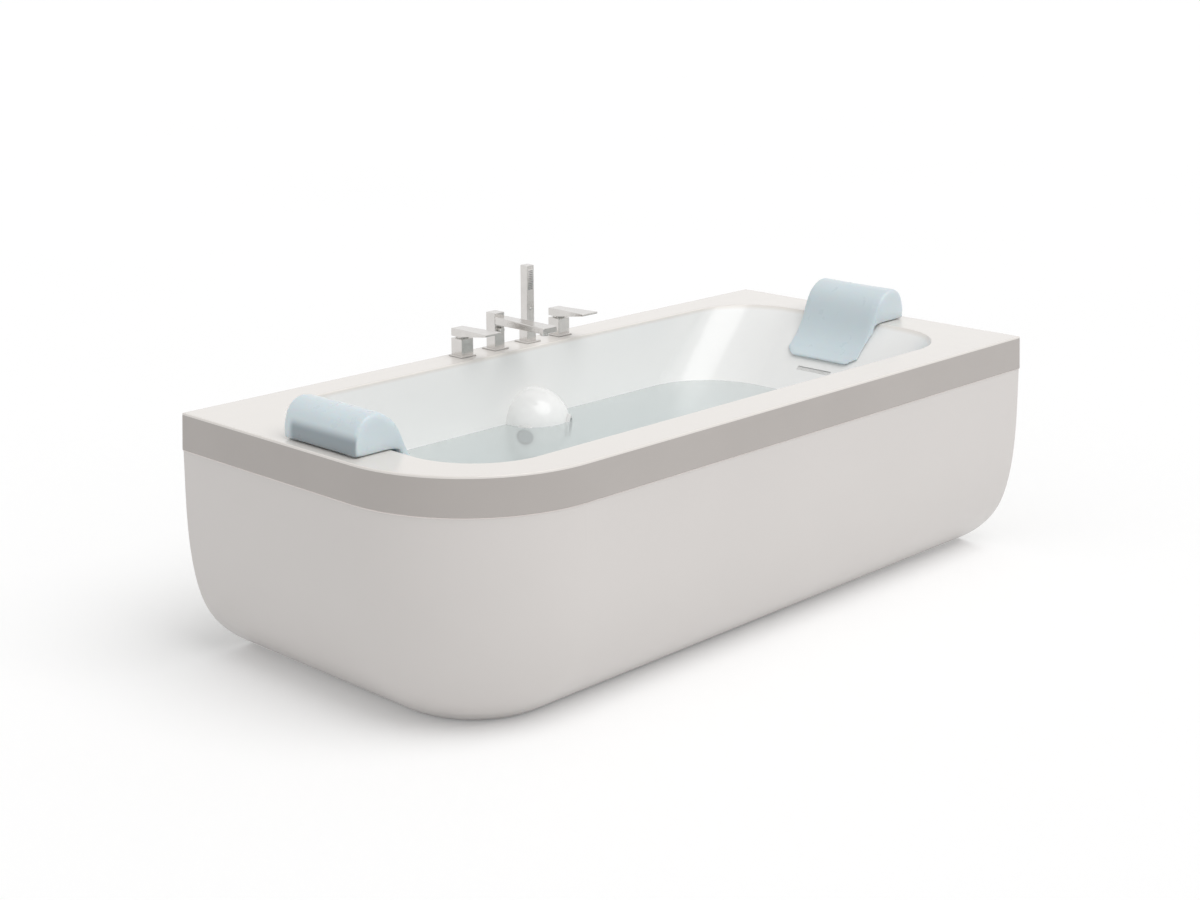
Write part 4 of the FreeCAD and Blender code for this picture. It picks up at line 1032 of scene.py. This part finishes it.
class BATHTUB_OT_cords(Operator):
    """Make the shower's hose under the deck and the lead of the pump"""

    bl_idname = "bathtub.cords"
    bl_label = "Cords"

    def execute(self, context):
        sizes = context.scene.bathtub_sizes
        hose = [(0.055, 0.413, 0.388), (0.055, 0.413, 0.250), (0.200, 0.382, 0.250),
                (0.200, 0.382, 0.494)]
        self.make_cord("shower_hose", hose, sizes.hose, sizes.hose_length, "hose_lower", "hose")
        lead = [(-0.675, 0.125, 0.150), (-0.650, 0.125, 0.150), (-0.630, 0.140, 0.128),
                (-0.622, 0.170, 0.119), (-0.620, 0.198, 0.133), (-0.620, 0.216, 0.133)]
        self.make_cord("pump_lead", lead, sizes.lead, sizes.lead_length, "motor_lead", "lead")
        return {"FINISHED"}

    def make_cord(self, name, route, diameter, long, node, slot):
        """A round cord along a smooth line, in place of its CAD solid."""
        curve = bpy.data.curves.new(name, "CURVE")
        curve.dimensions = "3D"
        curve.bevel_depth = diameter / 2
        curve.bevel_resolution = 5
        curve.use_fill_caps = True
        line = curve.splines.new("NURBS")
        line.points.add(len(route) - 1)
        for point, at in zip(line.points, route):
            point.co = (*at, 1.0)
        line.order_u = 3
        line.use_endpoint_u = True
        line.resolution_u = 16
        curve.materials.append(shared(slot))
        made = linked(name, curve)
        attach(made, "tub")
        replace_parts(made, node)


class BATHTUB_OT_water(Operator):
    """Fill the basin with staged water"""

    bl_idname = "bathtub.water"
    bl_label = "Water"

    def execute(self, context):
        sizes = context.scene.bathtub_sizes
        level = sizes.water_level
        edge, sunk = 1e-5, 0.0012  # metres: a point this near the surface stays, and how far others sink
        shape = copied("basin_shell")
        cut_above(shape, level)
        floor = [face for face in shape.faces if face.normal.z > 0.9]
        lowest = min(floor, key=lambda face: face.calc_center_median().z)
        inside = spread_from(shape, lowest, FOLD)
        kept_faces(shape, lambda face: face in inside)
        for vertex in shape.verts:
            if vertex.co.z < level - edge:
                vertex.co -= vertex.normal * sunk
        bmesh.ops.reverse_faces(shape, faces=shape.faces)
        bmesh.ops.holes_fill(shape, edges=shape.edges, sides=0)
        bmesh.ops.recalc_face_normals(shape, faces=shape.faces)
        water = self.water(context.scene.bathtub_colours, sizes)
        meshed("staged_water", shape, water)
        return {"FINISHED"}

    def water(self, tones, sizes):
        """Clear tinted water with a faintly rippled and milky surface that lets the light through."""
        material = bpy.data.materials.new("water")
        material.use_nodes = True
        tree = material.node_tree
        tree.nodes.remove(tree.nodes["Principled BSDF"])
        clear = tree.nodes.new("ShaderNodeBsdfTransparent")
        gloss = tree.nodes.new("ShaderNodeBsdfGlossy")
        gloss.inputs["Roughness"].default_value = 0.02
        edge = tree.nodes.new("ShaderNodeFresnel")
        edge.inputs["IOR"].default_value = 1.33
        ripple = bumped(tree, noise(tree, place(tree), 16.0, 3.0), 0.004)
        tree.links.new(ripple, gloss.inputs["Normal"])
        tree.links.new(ripple, edge.inputs["Normal"])
        milky = tree.nodes.new("ShaderNodeBsdfDiffuse")
        milky.inputs["Color"].default_value = (*tones.haze, 1.0)
        surface = mixed(tree, sizes.water_haze, mixed(tree, edge.outputs[0], clear, gloss), milky)
        depth = tree.nodes.new("ShaderNodeVolumeAbsorption")
        depth.inputs["Color"].default_value = (*tones.water, 1.0)
        depth.inputs["Density"].default_value = sizes.water_density
        result = tree.nodes["Material Output"]
        tree.links.new(surface.outputs[0], result.inputs["Surface"])
        tree.links.new(depth.outputs[0], result.inputs["Volume"])
        return material


class BATHTUB_PT_sidebar(Panel):
    """Lists the settings and the operators"""

    bl_idname = "BATHTUB_PT_sidebar"
    bl_label = "Bathtub"
    bl_space_type = "VIEW_3D"
    bl_region_type = "UI"
    bl_category = "Bathtub"

    def draw(self, context):
        scene = context.scene
        for group in (scene.bathtub_colours, scene.bathtub_sizes, scene.bathtub_studio):
            box = self.layout.box()
            for name in group.__annotations__:
                box.prop(group, name)
        for operator in OPERATORS:
            self.layout.operator(operator.bl_idname)


OPERATORS = (BATHTUB_OT_finishes, BATHTUB_OT_studio, BATHTUB_OT_tub, BATHTUB_OT_headrests,
             BATHTUB_OT_mixer, BATHTUB_OT_jets, BATHTUB_OT_waste, BATHTUB_OT_frame, BATHTUB_OT_pump,
             BATHTUB_OT_cords, BATHTUB_OT_water)
CLASSES = (BathtubColours, BathtubSizes, BathtubStudio, *OPERATORS, BATHTUB_PT_sidebar)


def register():
    for item in CLASSES:
        bpy.utils.register_class(item)
    bpy.types.Scene.bathtub_colours = PointerProperty(type=BathtubColours)
    bpy.types.Scene.bathtub_sizes = PointerProperty(type=BathtubSizes)
    bpy.types.Scene.bathtub_studio = PointerProperty(type=BathtubStudio)


def unregister():
    del bpy.types.Scene.bathtub_studio
    del bpy.types.Scene.bathtub_sizes
    del bpy.types.Scene.bathtub_colours
    for item in reversed(CLASSES):
        bpy.utils.unregister_class(item)


def main():
    """Registers the add-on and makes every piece."""
    register()
    bpy.ops.bathtub.finishes()
    bpy.ops.bathtub.studio()
    bpy.ops.bathtub.tub()
    bpy.ops.bathtub.headrests()
    bpy.ops.bathtub.mixer()
    bpy.ops.bathtub.jets()
    bpy.ops.bathtub.waste()
    bpy.ops.bathtub.frame()
    bpy.ops.bathtub.pump()
    bpy.ops.bathtub.cords()
    bpy.ops.bathtub.water()


if __name__ == "__main__":
    main()
